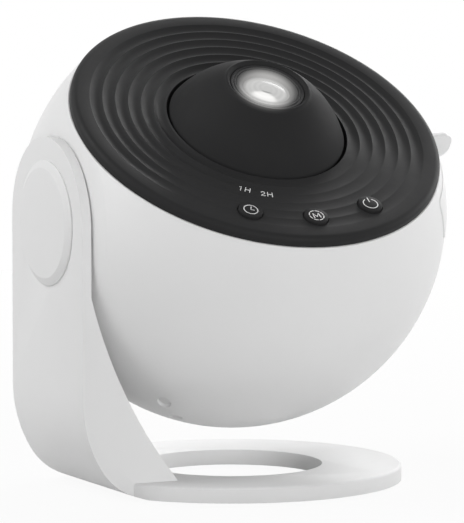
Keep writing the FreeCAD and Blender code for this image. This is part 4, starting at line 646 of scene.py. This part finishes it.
@dataclass(frozen=True)
class Lit(Moulded):
    """A moulding that shines where its mesh holds a value in the glow attribute."""

    light: Colour = (1.0, 0.99, 0.97)
    strength: float = 1.0

    def build(self) -> Nodes:
        """Add the light to the moulded finish.

        Returns:
            The nodes of the lit material.
        """
        nodes = super().build()
        nodes.feed(self.light, "Emission Color")
        glow = nodes.add("Attribute", attribute_name="glow")
        nodes.feed(nodes.reckon("MULTIPLY", glow.outputs["Fac"], self.strength), "Emission Strength")
        return nodes


class Finish(Enum):
    """Every finish on the projector."""

    GLOBE = Moulded("globe_white", (0.8, 0.8, 0.8), 0.42, cloud=0.008, grain_height=0.05)
    STAND = Moulded("stand_white", (0.8, 0.8, 0.8), 0.5, specular=0.2, cloud=0.008, grain_height=0.08)
    PLUG = Moulded("plug_white", (0.76, 0.76, 0.76), 0.5, cloud=0.01)
    RUBBER = Moulded("foot_rubber", (0.09, 0.09, 0.092), 0.8, cloud=0.08, grain_mm=0.6, grain_height=0.4)
    PLATE = Moulded("plate_black", (0.0235, 0.0235, 0.024), 0.48, specular=0.07, cloud=0.06, grain_height=0.2)
    CONE = Lit("cone_black", (0.027, 0.027, 0.0275), 0.6, specular=0.03, cloud=0.06, grain_height=0.15)
    BUTTON = Moulded("button_black", (0.024, 0.024, 0.0245), 0.5, specular=0.05, cloud=0.06)
    PRINT = Moulded("print_white", (0.82, 0.82, 0.82), 0.5, cloud=0.02, grain_mm=0.15)
    BARREL = Lit("barrel_grey", (0.018, 0.018, 0.019), 0.45, specular=0.12, cloud=0.04)
    INNER = Moulded("inner_black", (0.03, 0.03, 0.03), 0.6, cloud=0.06, grain_height=0.3)
    TRAY = Moulded("tray_black", (0.04, 0.04, 0.042), 0.55, cloud=0.05)
    GEAR = Moulded("gear_natural", (0.66, 0.64, 0.58), 0.4, cloud=0.03, grain_height=0.08)
    HUB = Moulded("hub_grey", (0.18, 0.18, 0.19), 0.5, cloud=0.05)
    BOARD = Moulded("board_green", (0.02, 0.1, 0.05), 0.35, cloud=0.1, cloud_mm=5.0, coat=0.3)
    LAMP_BOARD = Moulded("lamp_board_white", (0.75, 0.75, 0.74), 0.4, cloud=0.03, cloud_mm=6.0)
    SWITCH = Moulded("switch_black", (0.03, 0.03, 0.03), 0.45, cloud=0.05)
    SINK = Moulded("sink_aluminium", (0.62, 0.63, 0.65), 0.38, metallic=1.0, cloud=0.04, gloss_change=0.08)
    STEEL = Moulded("screw_steel", (0.52, 0.52, 0.53), 0.32, metallic=1.0, cloud=0.08, cloud_mm=3.0)
    BRASS = Moulded("pillar_brass", (0.66, 0.5, 0.24), 0.3, metallic=1.0, cloud=0.06, cloud_mm=4.0)
    RING = Lit("ring_grey", (0.02, 0.02, 0.021), 0.45, specular=0.1, cloud=0.04, cloud_mm=3.0)
    LENS = Lit(
        "front_lens", (0.06, 0.065, 0.07), 0.16, specular=0.2, cloud=0.04, cloud_mm=3.0, grain_height=0.02
    )
    GLASS = Clear("lens_glass")
    FILM = Starred("film_stars", (0.01, 0.012, 0.035), 0.12, 1.5, 0.35)
    DIODE = Lit("diode_dome", (0.8, 0.75, 0.45), 0.3, strength=2.0)

    def dress(self, piece: Piece) -> None:
        """Give a whole piece this finish."""
        piece.data.materials.clear()
        piece.data.materials.append(self.value.material())


# ---- the top plate


@dataclass
class TopPlate:
    """Black cover with six hollow ripples that calm down round the buttons."""

    radius: float = 61.5
    face: float = 36.35
    under: float = 33.0
    mouth: float = 32.8
    opening: float = 29.95
    edge: float = 0.15
    outer_crest: float = 55.6
    ripples: int = 6
    ripple_steps: int = 13
    depth: float = 0.8
    calm_depth: float = 0.13
    calm: float = math.radians(45)
    fade: float = math.radians(35)
    rim: float = 2.2
    rim_steps: int = 8
    lower_edge: float = 0.2
    crest: Point2 = (-0.1, 0.06)
    crest_sag: Point2 = (0.06, 0.02)
    spigot: Point3 = (59.0, 56.0, 2.2)
    button_circle: float = 50.3
    button_spread: float = 25
    button_hole: float = 4.28
    hole_steps: int = 64
    steps: int = 288
    crease: float = math.radians(24)

    def ripple_depth(self, azimuth: float) -> float:
        """How deep the ripples are at an angle round the head's axis."""
        off = abs((azimuth + math.pi / 2 + math.pi) % TURN - math.pi)
        return self.calm_depth + (self.depth - self.calm_depth) * ease((off - self.calm) / self.fade)

    def section(self, azimuth: float) -> list[Point2]:
        """Half section of the plate at an azimuth.

        Args:
            azimuth: the angle round the head's axis.

        Returns:
            Points of (radius, height), from the opening's lower edge outwards over the face.
        """
        depth = self.ripple_depth(azimuth)
        pitch = (self.outer_crest - self.opening) / self.ripples
        points = [(self.opening, self.under), (self.opening, self.face - self.edge)]
        points.append((self.opening + self.edge, self.face))
        for ripple in range(self.ripples):
            start = self.opening + ripple * pitch
            for step in range(1, self.ripple_steps):
                share = step / self.ripple_steps
                sag = depth * (1 - (2 * share - 1) ** 2)
                points.append((start + share * pitch, self.face - sag))
            for out, sag in zip(self.crest, self.crest_sag):
                points.append((start + pitch + out, self.face - depth * sag))
        across, up = self.radius - self.rim, self.face - self.rim
        points += arc((across, up), self.rim, 90, 0, self.rim_steps)
        outer, inner, drop = self.spigot
        points += [(self.radius, self.mouth + self.lower_edge), (self.radius - self.lower_edge, self.mouth)]
        points += [(outer, self.mouth), (outer, self.mouth - drop)]
        points += [(inner, self.mouth - drop), (inner, self.under)]
        return points

    def button_spots(self) -> list[Point2]:
        """Middles of the three button holes, from left to right."""
        start, end = -90 - self.button_spread, -90 + self.button_spread
        return arc((0.0, 0.0), self.button_circle, start, end, 2)

    def build(self) -> None:
        """Turn the plate, cut the button holes and dress it."""
        plate = turned("rippled_plate", self.section, self.steps)
        cutters = []
        for spot in self.button_spots():
            hole = arc(spot, self.button_hole, 0, 360, self.hole_steps)[:-1]
            cutters.append(slab("hole", hole, self.under - 1, self.face + 1))
        carve(plate, cutters, "DIFFERENCE")
        smooth(plate, self.crease)
        mount(plate, "head", Finish.PLATE, "black_plate", "top_plate")


# ---- the cone


@dataclass
class FocusCone:
    """Black cone that is turned by hand, with the lamp's light painted as a glow round its mouth."""

    foot: float = 29.0
    shoulder: float = 36.2
    bulge: Point2 = (22.9, 44.75)
    rim: Point2 = (14.3, 51.3)
    lip_side: Point2 = (13.95, 51.79)
    lip: Point2 = (13.4, 52.0)
    bore: float = 12.4
    flange: Point3 = (31.4, 30.4, 32.6)
    wall: float = 2.2
    face: float = 51.1
    collar: Point2 = (14.4, 43.0)
    inner_bulge: Point2 = (21.316, 43.166)
    steps: int = 160

    def section(self) -> list[Point2]:
        """Half section of the cone, from the flange up over the side and into the mouth.

        Returns:
            Points of (radius, height).
        """
        edge, low, high = self.flange
        line = Outline().to(self.foot - self.wall, low).to(edge, low).to(edge, high).to(self.foot, high)
        line.to(self.foot, self.shoulder).bend(self.bulge, self.rim, 28)
        line.bend(self.lip_side, self.lip, 6, 0.25)
        line.to(self.bore + 0.15, self.face + 0.1).to(self.bore, self.face - 0.2)
        line.to(self.bore, self.collar[1]).to(*self.collar).to(self.collar[0], self.rim[1] - 1.5 * self.wall)
        line.bend(self.inner_bulge, (self.foot - self.wall, self.shoulder - self.wall / 3), 16)
        return line.points()

    def build(self) -> None:
        """Turn the cone, spread the lamp's spill over its mouth and dress it."""
        cone = turned("focus_cone_body", self.section(), self.steps)
        Glow().light(cone)
        mount(cone, "focus_ring", Finish.CONE, "black_cone", "focus_cone")


# ---- the lens and its light


@dataclass(frozen=True)
class Glow:
    """The lamp's light as it shows on the lens and spills over the mouth, towards one side more.

    A spot is (ahead, aside, half its length ahead, half its width aside, how hard its edge is).
    """

    towards: float = math.radians(-125)
    low: float = 46.0
    edge: float = 7.68
    rim_at: float = 7.7
    rim: float = 0.33
    lobe: float = 0.1
    lobe_towards: float = math.radians(60)
    spread: float = 1.6
    spread_ahead: float = 2.9
    ahead_power: float = 2.5
    spread_behind: float = 0.5
    end: float = 14.6
    soften: float = 0.7
    disc: float = 0.5
    swirl: Point3 = (0.025, 3.6, 3.0)
    dim: Point3 = (0.13, 5.9, 1.5)
    lamp: float = 0.2
    lamp_spot: tuple[float, ...] = (4.3, 0.1, 1.75, 3.9, 2.4)
    shade: float = 0.13
    shade_spot: tuple[float, ...] = (2.2, 0.4, 0.35, 1.6, 2.0)
    shade_bow: float = 0.12

    def outside(self, radius: float, azimuth: float) -> float:
        """Light on what surrounds the lens.

        Args:
            radius: distance from the head's axis, in millimetres.
            azimuth: the angle round that axis.

        Returns:
            The strength of the light.
        """
        level = self.rim + self.lobe * math.cos(2 * (azimuth - self.lobe_towards))
        ahead, behind = (max(0.0, math.cos(azimuth - way)) for way in (self.towards, self.lobe_towards))
        spread = self.spread + self.spread_ahead * ahead**self.ahead_power + self.spread_behind * behind**2
        past = max(0.0, radius - self.rim_at) / spread
        return level * math.exp(-(past**2)) * ease((self.end - radius) / self.soften)

    def inside(self, radius: float, azimuth: float) -> float:
        """Light on the lens itself: an even disc that dims to its rim, and the lamp's picture low in it.

        Args:
            radius: distance from the head's axis, in millimetres.
            azimuth: the angle round that axis.

        Returns:
            The strength of the light.
        """
        swirl, turns, grown = self.swirl
        dim, start, width = self.dim
        level = self.disc + swirl * math.sin(radius * turns + azimuth) * min(1.0, radius / grown)
        level -= dim * ease((radius - start) / width)
        ahead = radius * math.cos(azimuth - self.towards)
        aside = radius * math.sin(azimuth - self.towards)
        level += self.lamp * self.within(self.lamp_spot, ahead, aside)
        bowed = ahead + aside * aside * self.shade_bow
        return level - self.shade * self.within(self.shade_spot, bowed, aside)

    def within(self, spot: tuple[float, ...], ahead: float, aside: float) -> float:
        """How much of a spot of light or shade falls on a point.

        Args:
            spot: the spot's middle, half sizes and hardness.
            ahead: the point's place along the light's own direction.
            aside: its place across it.

        Returns:
            2 in the spot's middle, 1 on its edge and 0 well outside.
        """
        middle, side, length, width, hard = spot
        off = ((ahead - middle) / length) ** 2 + ((aside - side) / width) ** 2
        return 1 - math.tanh((off - 1) * hard)

    def light(self, piece: Piece) -> None:
        """Fill a mesh's glow attribute.

        Args:
            piece: a mesh that is drawn in the head's frame.
        """
        back = HEAD.inverted()
        glow = piece.data.attributes.new("glow", "FLOAT", "POINT")
        for vertex, value in zip(piece.data.vertices, glow.data):
            spot = back @ vertex.co
            radius, azimuth = math.hypot(spot.x, spot.y), math.atan2(spot.y, spot.x)
            if spot.z > self.low:
                law = self.inside if radius < self.edge else self.outside
                value.value = law(radius, azimuth)


@dataclass
class Lens:
    """Barrel in the cone's mouth with the front lens and the ring that holds it."""

    face: float = 51.0
    bottom: float = 27.0
    radius: float = 12.3
    ring: Point2 = (7.7, 10.3)
    ring_seat: float = 1.6
    ring_drop: float = 0.2
    groove: tuple[float, ...] = (0.65, 0.7, 1.1, 1.15, 0.18)
    glass: float = 8.4
    seat: float = 3.8
    sill: Point2 = (0.8, 1.0)
    rear: float = 9.4
    rear_sill: Point2 = (5.2, 6.2)
    dome: float = 1.2
    hollow: float = 0.9
    hollow_steps: int = 8
    glass_drop: float = 0.05
    land: float = 7.5
    key: tuple[float, ...] = (3.0, 1.1, 4.0, 8.0)
    key_root: float = 1.0
    fit: float = 0.1
    steps: int = 144
    dome_steps: int = 28
    dome_turn: int = 120

    def build(self) -> None:
        """Make barrel, ring and front lens."""
        self.barrel()
        self.retainer()
        self.front_lens()

    def barrel(self) -> None:
        """The barrel's wall with rounded front edge, fine steps in its face and its two keys."""
        wide, rear, glass = self.ring[1], self.rear + self.fit, self.glass + self.fit
        near, near_deep, far_deep, far, deep = self.groove
        floor, ring_seat, seat = (self.face - drop for drop in (deep, self.ring_seat, self.seat))
        ledge, under = self.sill
        low, high = (self.bottom + height for height in self.rear_sill)
        line = Outline().to(rear, self.bottom).to(self.radius, self.bottom).to(self.radius, self.face, 0.35)
        line.to(wide + far, self.face, 0.1).to(wide + far_deep, floor).to(wide + near_deep, floor)
        line.to(wide + near, self.face, 0.05)
        line.to(wide + self.fit, self.face, 0.12).to(wide + self.fit, ring_seat)
        line.to(glass, ring_seat).to(glass, seat).to(self.glass - ledge, seat)
        line.to(self.glass - ledge, seat - under).to(wide, seat - under).to(wide, high)
        line.to(self.rear - ledge, high).to(self.rear - ledge, low).to(rear, low)
        barrel = turned("barrel_wall", line.points(), self.steps)
        width, reach, start, length = self.key
        half, start = width / 2, self.bottom + start
        keys = []
        for side in (-1, 1):
            inside, outside = side * (self.radius - self.key_root), side * (self.radius + reach)
            plan = [(-half, inside), (half, inside), (half, outside), (-half, outside)]
            keys.append(slab("key", plan, start, start + length))
        carve(barrel, keys, "UNION")
        smooth(barrel)
        Glow().light(barrel)
        mount(barrel, "lens", Finish.BARREL, "barrel_black", "lens_barrel")

    def retainer(self) -> None:
        """The ring with a bevel down to the lens."""
        inner, wide = self.ring
        top, seat = self.face - self.ring_drop, self.face - self.ring_seat
        line = Outline().to(inner, seat).to(wide, seat).to(wide, top, 0.15).to(wide - 0.8, top, 0.15)
        line.to(inner + 0.75, top - 0.42, 0.2).to(inner, top - 0.55, 0.1)
        ring = turned("lens_ring", line.points(), self.steps)
        Glow().light(ring)
        mount(ring, "lens", Finish.RING, "lens_ring", "lens_retainer")

    def front_lens(self) -> None:
        """The domed lens, with the lamp's light spread over it."""
        rim = self.face - self.ring_seat - self.glass_drop
        ball = (self.land**2 + self.dome**2) / (2 * self.dome)
        under = self.face - self.seat
        shares = [step / self.hollow_steps for step in range(self.hollow_steps + 1)]
        points = [(self.land * share, under - self.hollow * (1 - share**2)) for share in shares]
        points += [(self.glass, under), (self.glass, rim)]
        for step in range(self.dome_steps):
            across = self.land * (1 - step / self.dome_steps)
            points.append((across, rim + self.dome - ball + math.sqrt(ball**2 - across**2)))
        points.append((0.0, rim + self.dome))
        lens = turned("front_lens_dome", points, self.dome_turn)
        Glow().light(lens)
        mount(lens, "lens", Finish.LENS, "lens_glass", "front_lens")


# ---- buttons and marks


def print_lines(name: str, lines: Lines, width: float, low: float, thick: float) -> Piece:
    """Printed lines as one thin raised mesh.

    Args:
        name: the piece's name.
        lines: pen lines in the head's plan.
        width: the pen's width.
        low: height of the surface that is printed.
        thick: height of the print.

    Returns:
        The mesh object.
    """
    spots, faces = [], []
    for line in lines:
        closed = math.dist(line[0], line[-1]) < WELD
        ring = line[:-1] if closed else line
        count = len(ring)
        rows = []
        for i, spot in enumerate(ring):
            before = ring[i - 1] if closed or i else spot
            after = ring[(i + 1) % count] if closed or i < count - 1 else spot
            way = Vector((after[0] - before[0], after[1] - before[1])).normalized()
            side = Vector((-way.y, way.x)) * width / 2
            end = way * width / 2 * (0 if closed else (i == count - 1) - (i == 0))
            rows.append(len(spots))
            for sign, lift in ((1, 0.0), (1, thick), (-1, thick), (-1, 0.0)):
                across, up = Vector(spot) + end + side * sign
                spots.append((across, up, low + lift))
        pairs = list(zip(rows, rows[1:])) + ([(rows[-1], rows[0])] if closed else [])
        for a, b in pairs:
            for k in range(4):
                n = (k + 1) % 4
                faces.append((a + k, a + n, b + n, b + k))
        if not closed:
            faces.append([rows[0] + k for k in range(4)])
            faces.append([rows[-1] + 3 - k for k in range(4)])
    return piece_from(name, spots, faces)


class Symbol(Enum):
    """What is printed on a button."""

    CLOCK = "timer"
    MODE = "mode"
    POWER = "power"


@dataclass
class Mark:
    """The pen lines of a button's symbol, one method for each."""

    symbol: Symbol
    middle: Point2
    face_ring: float = 2.28
    hands: Point2 = (1.4, 1.08)
    ring: float = 2.4
    dash: tuple[int, int] = (30, 45)
    letter: tuple[Point2, ...] = ((-1.12, -1.08), (-0.95, 1.1), (0.0, -0.75), (0.95, 1.1), (1.12, -1.08))
    bold: float = 0.08
    gap: Point2 = (122, 418)
    stroke: Point2 = (0.9, 2.9)

    def lines(self) -> Lines:
        """The symbol's lines in the head's plan."""
        return getattr(self, self.symbol.name.lower())()

    def clock(self) -> Lines:
        """A clock face whose long hand points at the cone.

        Returns:
            The face and both hands.
        """
        across, up = self.middle
        turn = math.atan2(across, -up)
        minute, hour = self.hands
        hands = [(across - math.sin(turn) * minute, up + math.cos(turn) * minute), self.middle]
        hands.append((across + math.cos(turn) * hour, up + math.sin(turn) * hour))
        return [arc(self.middle, self.face_ring, 0, 360, 40), hands]

    def mode(self) -> Lines:
        """The letter M, drawn bold, in a ring of dashes.

        Returns:
            The dashes and the letter's lines.
        """
        across, up = self.middle
        length, pitch = self.dash
        dashes = [arc(self.middle, self.ring, start, start + length, 4) for start in range(5, 365, pitch)]
        bold = (-self.bold, self.bold)
        return dashes + [[(across + x + more, up + y) for x, y in self.letter] for more in bold]

    def power(self) -> Lines:
        """An open ring with a stroke in its gap."""
        across, up = self.middle
        return [arc(self.middle, self.ring, *self.gap, 36), [(across, up + end) for end in self.stroke]]


@dataclass
class Button:
    """One round cap with its printed symbol."""

    symbol: Symbol
    middle: Point2
    radius: float = 3.98
    face: float = 37.1
    edge: float = 0.35
    flange: Point3 = (5.2, 32.2, 32.9)
    stem: Point2 = (1.2, 31.6)
    pen: float = 0.3
    print_height: float = 0.03
    steps: int = 72

    def build(self) -> None:
        """Turn the cap, print it and dress both."""
        name = self.symbol.value
        wide, low, high = self.flange
        line = Outline().to(0.0, self.stem[1]).to(self.stem[0], self.stem[1]).to(self.stem[0], low)
        line.to(wide, low).to(wide, high).to(self.radius, high).to(self.radius, self.face - self.edge)
        line.to(self.radius - self.edge * 0.3, self.face - self.edge * 0.3)
        line.to(self.radius - self.edge, self.face).to(0.0, self.face)
        cap = turned(f"{name}_cap", line.points(), self.steps)
        cap.data.transform(Matrix.Translation(HEAD.to_3x3() @ Vector((*self.middle, 0.0))))
        mount(cap, name, Finish.BUTTON, "button_black", f"{name}_button")
        lines = Mark(self.symbol, self.middle).lines()
        mark = print_lines(f"{name}_mark", lines, self.pen, self.face - 0.01, self.print_height)
        mount(mark, name, Finish.PRINT, "button_black")


@dataclass
class TimerMarks:
    """The printed hours above the timer button."""

    spots: tuple[Point2, Point2] = ((-18.5, -34.0), (-11.9, -37.1))
    height: float = 2.05
    spacing: float = 2.15
    indent: float = 0.25
    pen: float = 0.27
    face: float = 36.22
    print_height: float = 0.15

    def glyph(self, letter: str) -> Lines:
        """Pen lines of a character in a box 1 high and 0.6 wide.

        Args:
            letter: 1, 2 or H.

        Returns:
            The lines.
        """
        if letter == "1":
            return [[(0.12, 0.82), (0.34, 1.0), (0.34, 0.0)]]
        if letter == "2":
            return [arc((0.3, 0.7), 0.28, 165, -35, 12) + [(0.02, 0.0), (0.62, 0.0)]]
        return [[(0.0, 0.0), (0.0, 1.0)], [(0.74, 0.0), (0.74, 1.0)], [(0.0, 0.5), (0.74, 0.5)]]

    def build(self) -> None:
        """Print both marks."""
        lines = []
        for text, (across, up) in zip(("1H", "2H"), self.spots):
            turn = Matrix.Rotation(math.atan2(across, -up), 2)
            for place, letter in enumerate(text):
                left = (place - 1) * self.spacing + self.indent
                for line in self.glyph(letter):
                    pen = (Vector((left + x * self.height, (y - 0.5) * self.height)) for x, y in line)
                    lines.append([(across + spot.x, up + spot.y) for spot in (turn @ at for at in pen)])
        marks = print_lines("timer_marks", lines, self.pen, self.face, self.print_height)
        mount(marks, "head", Finish.PRINT, "black_plate")


# ---- stand, door and plugs


@dataclass
class Stand:
    """Foot, heel and arm in one casting, with the cover over the pivot."""

    rounding: float = 0.5
    globe_side: float = -63.0
    cover_rounding: float = 0.15
    cover_crease: float = math.radians(20)

    def build(self) -> None:
        """Round off the casting and the cover and dress both."""
        casting = softened("stand_frame", "stand_casting", self.rounding, crisp_side=self.globe_side)
        mount(casting, "stand", Finish.STAND, "white_stand", "stand_frame")
        cover = softened("pivot_cap", "pivot_cover", self.cover_rounding, self.cover_crease)
        mount(cover, "stand", Finish.STAND, "white_stand", "pivot_cap")


@dataclass
class WallPieces:
    """What lies in the globe's wall: the film tray's door, and the two plugs set back in their holes."""

    door_rounding: float = 0.6
    plug_rounding: float = 0.2
    plug_depth: float = 1.0
    plug_face: float = 69.4

    def build(self) -> None:
        """Round off door and plugs, set the plugs back and dress all."""
        door = softened("tray_door", "door_skin", self.door_rounding)
        mount(door, "tray", Finish.GLOBE, "white_shell", "tray_door")
        plugs = softened("screw_plugs", "plug_pair", self.plug_rounding)
        for vertex in plugs.data.vertices:
            out = vertex.co - PIVOT
            if out.length > self.plug_face * MM:
                vertex.co -= out.normalized() * self.plug_depth * MM
        mount(plugs, "head", Finish.PLUG, "plug_white", "screw_plugs")


# ---- the studio


@dataclass(frozen=True)
class Softbox:
    """A square area light in metres and watts, aimed at a height on the middle axis."""

    name: str
    spot: Point3
    aim: float
    size: float
    power: float

    def build(self) -> None:
        """Hang the light and turn it to its aim."""
        light = bpy.data.lights.new(self.name, "AREA")
        light.size, light.energy = self.size, self.power
        lamp = put_in_scene(self.name, light)
        lamp.location = self.spot
        lamp.rotation_mode = "QUATERNION"
        away = Vector((0.0, 0.0, self.aim)) - Vector(self.spot)
        lamp.rotation_quaternion = away.to_track_quat("-Z", "Y")


@dataclass
class Studio:
    """Pale floor, soft lights and the camera, in metres."""

    camera_spot: Point3 = (-0.8445, -1.7554, 0.2928)
    yaw: float = math.radians(25.695)
    pitch: float = math.radians(6.469)
    lens: float = 412.2
    sensor: float = 36.0
    clip: Point2 = (0.05, 50.0)
    floor_grey: float = 0.62
    floor_roughness: float = 0.9
    floor_reach: float = 6.0
    floor_shown: Point2 = (0.93, 1.0)
    floor_fade: Point2 = (0.1, 0.6)
    sky: float = 0.12
    lamps: tuple[Softbox, ...] = (
        Softbox("right", (1.15, 0.25, 0.5), 0.1, 0.7, 5.2),
        Softbox("side_right", (1.3, -0.5, 0.3), 0.06, 0.8, 2.9),
        Softbox("back_right", (0.74, 0.8, 0.7), 0.08, 0.55, 6.6),
        Softbox("front", (0.2, -1.5, 0.25), 0.05, 0.7, 9.2),
        Softbox("low_front", (-0.7, -1.4, 0.15), 0.03, 0.7, 4.1),
        Softbox("top_left", (-0.8, 0.35, 0.95), 0.08, 0.7, 8.1),
        Softbox("left", (-1.35, 0.1, 0.4), 0.08, 0.7, 2.7),
    )

    def build(self) -> None:
        """Make floor, world, lights and camera."""
        bpy.context.scene.view_settings.view_transform = "Standard"
        self.floor()
        self.world()
        for lamp in self.lamps:
            lamp.build()
        self.camera()
        log.info("studio with %d lamps", len(self.lamps))

    def floor(self) -> None:
        """A large pale floor that looks white to the camera and keeps the object's shadow."""
        mesh = bpy.data.meshes.new("floor")
        reach = self.floor_reach
        corners = [(x * reach, y * reach, 0) for x, y in ((-1, -1), (1, -1), (1, 1), (-1, 1))]
        mesh.from_pydata(corners, [], [(0, 1, 2, 3)])
        piece = put_in_scene("floor", mesh)
        nodes = Nodes(bpy.data.materials.new("finish_floor_white"))
        nodes.feed((self.floor_grey,) * 3, "Base Color")
        nodes.feed(self.floor_roughness, "Roughness")
        place = nodes.add("NewGeometry").outputs["Position"]
        away = nodes.add("VectorMath", operation="LENGTH", Vector=place)
        whiter = nodes.spread(away.outputs["Value"], self.floor_fade, self.floor_shown)
        shown = nodes.reckon("MULTIPLY", nodes.seen(), whiter)
        white = nodes.add("Emission", Strength=1.0)
        nodes.blend(shown, nodes.shader.outputs["BSDF"], white.outputs["Emission"])
        mesh.materials.append(nodes.owner)

    def world(self) -> None:
        """Even light from all round, white to the camera."""
        world = bpy.data.worlds.new("studio")
        bpy.context.scene.world = world
        nodes = Nodes(world, "Background")
        nodes.feed((1.0, 1.0, 1.0), "Color")
        nodes.feed(self.sky, "Strength")
        shown = nodes.add("Background", Color=(1.0, 1.0, 1.0), Strength=1.0)
        nodes.blend(nodes.seen(), nodes.shader.outputs["Background"], shown.outputs["Background"])

    def camera(self) -> None:
        """A long lens, a little above the plate, from the front left."""
        data = bpy.data.cameras.new("camera")
        data.lens, data.sensor_width = self.lens, self.sensor
        data.clip_start, data.clip_end = self.clip
        eye = put_in_scene("camera", data)
        eye.location = self.camera_spot
        eye.rotation_euler = (math.pi / 2 - self.pitch, 0.0, -self.yaw)
        bpy.context.scene.camera = eye


# ---- pieces that keep the CAD shape

CAD_FINISH = {
    Finish.GLOBE: "front_shell rear_shell tray_door",
    Finish.STAND: "stand_frame pivot_cap",
    Finish.PLUG: "screw_plugs",
    Finish.RUBBER: "base_pad",
    Finish.PLATE: "top_plate",
    Finish.CONE: "focus_cone",
    Finish.BUTTON: "timer_button mode_button power_button",
    Finish.BARREL: "lens_barrel",
    Finish.INNER: "optics_deck lamp_deck lamp_tube front_runner rear_runner lens_sleeve",
    Finish.TRAY: "film_tray",
    Finish.GEAR: "disc_ring drive_pinion pivot_washer",
    Finish.HUB: "pivot_hub",
    Finish.BOARD: "button_board power_board",
    Finish.LAMP_BOARD: "lamp_board",
    Finish.SWITCH: "tact_switches",
    Finish.SINK: "heat_sink chassis_plate",
    Finish.STEEL: "pivot_screw clamp_washer hub_screws chassis_screws deck_screws pillar_screws "
    "board_screws motor_shaft drive_motor power_socket",
    Finish.BRASS: "deck_pillars",
    Finish.RING: "lens_retainer",
    Finish.GLASS: "front_lens rear_lens condenser_lens",
    Finish.FILM: "film_slide",
    Finish.DIODE: "lamp_emitter timer_lights",
}


def dress_cad_nodes() -> None:
    """Give each CAD node its finish."""
    for finish, nodes in CAD_FINISH.items():
        for node in nodes.split():
            finish.dress(frame["nodes"][node])


def main() -> None:
    """Build the projector piece by piece."""
    logging.basicConfig(level=logging.INFO, format="%(message)s")
    dress_cad_nodes()
    log.info("finishes on %d CAD nodes", len(frame["nodes"]))
    Stand().build()
    WallPieces().build()
    plate = TopPlate()
    plate.build()
    FocusCone().build()
    Lens().build()
    for symbol, spot in zip(Symbol, plate.button_spots()):
        Button(symbol, spot).build()
    TimerMarks().build()
    Studio().build()


if __name__ == "__main__":
    main()
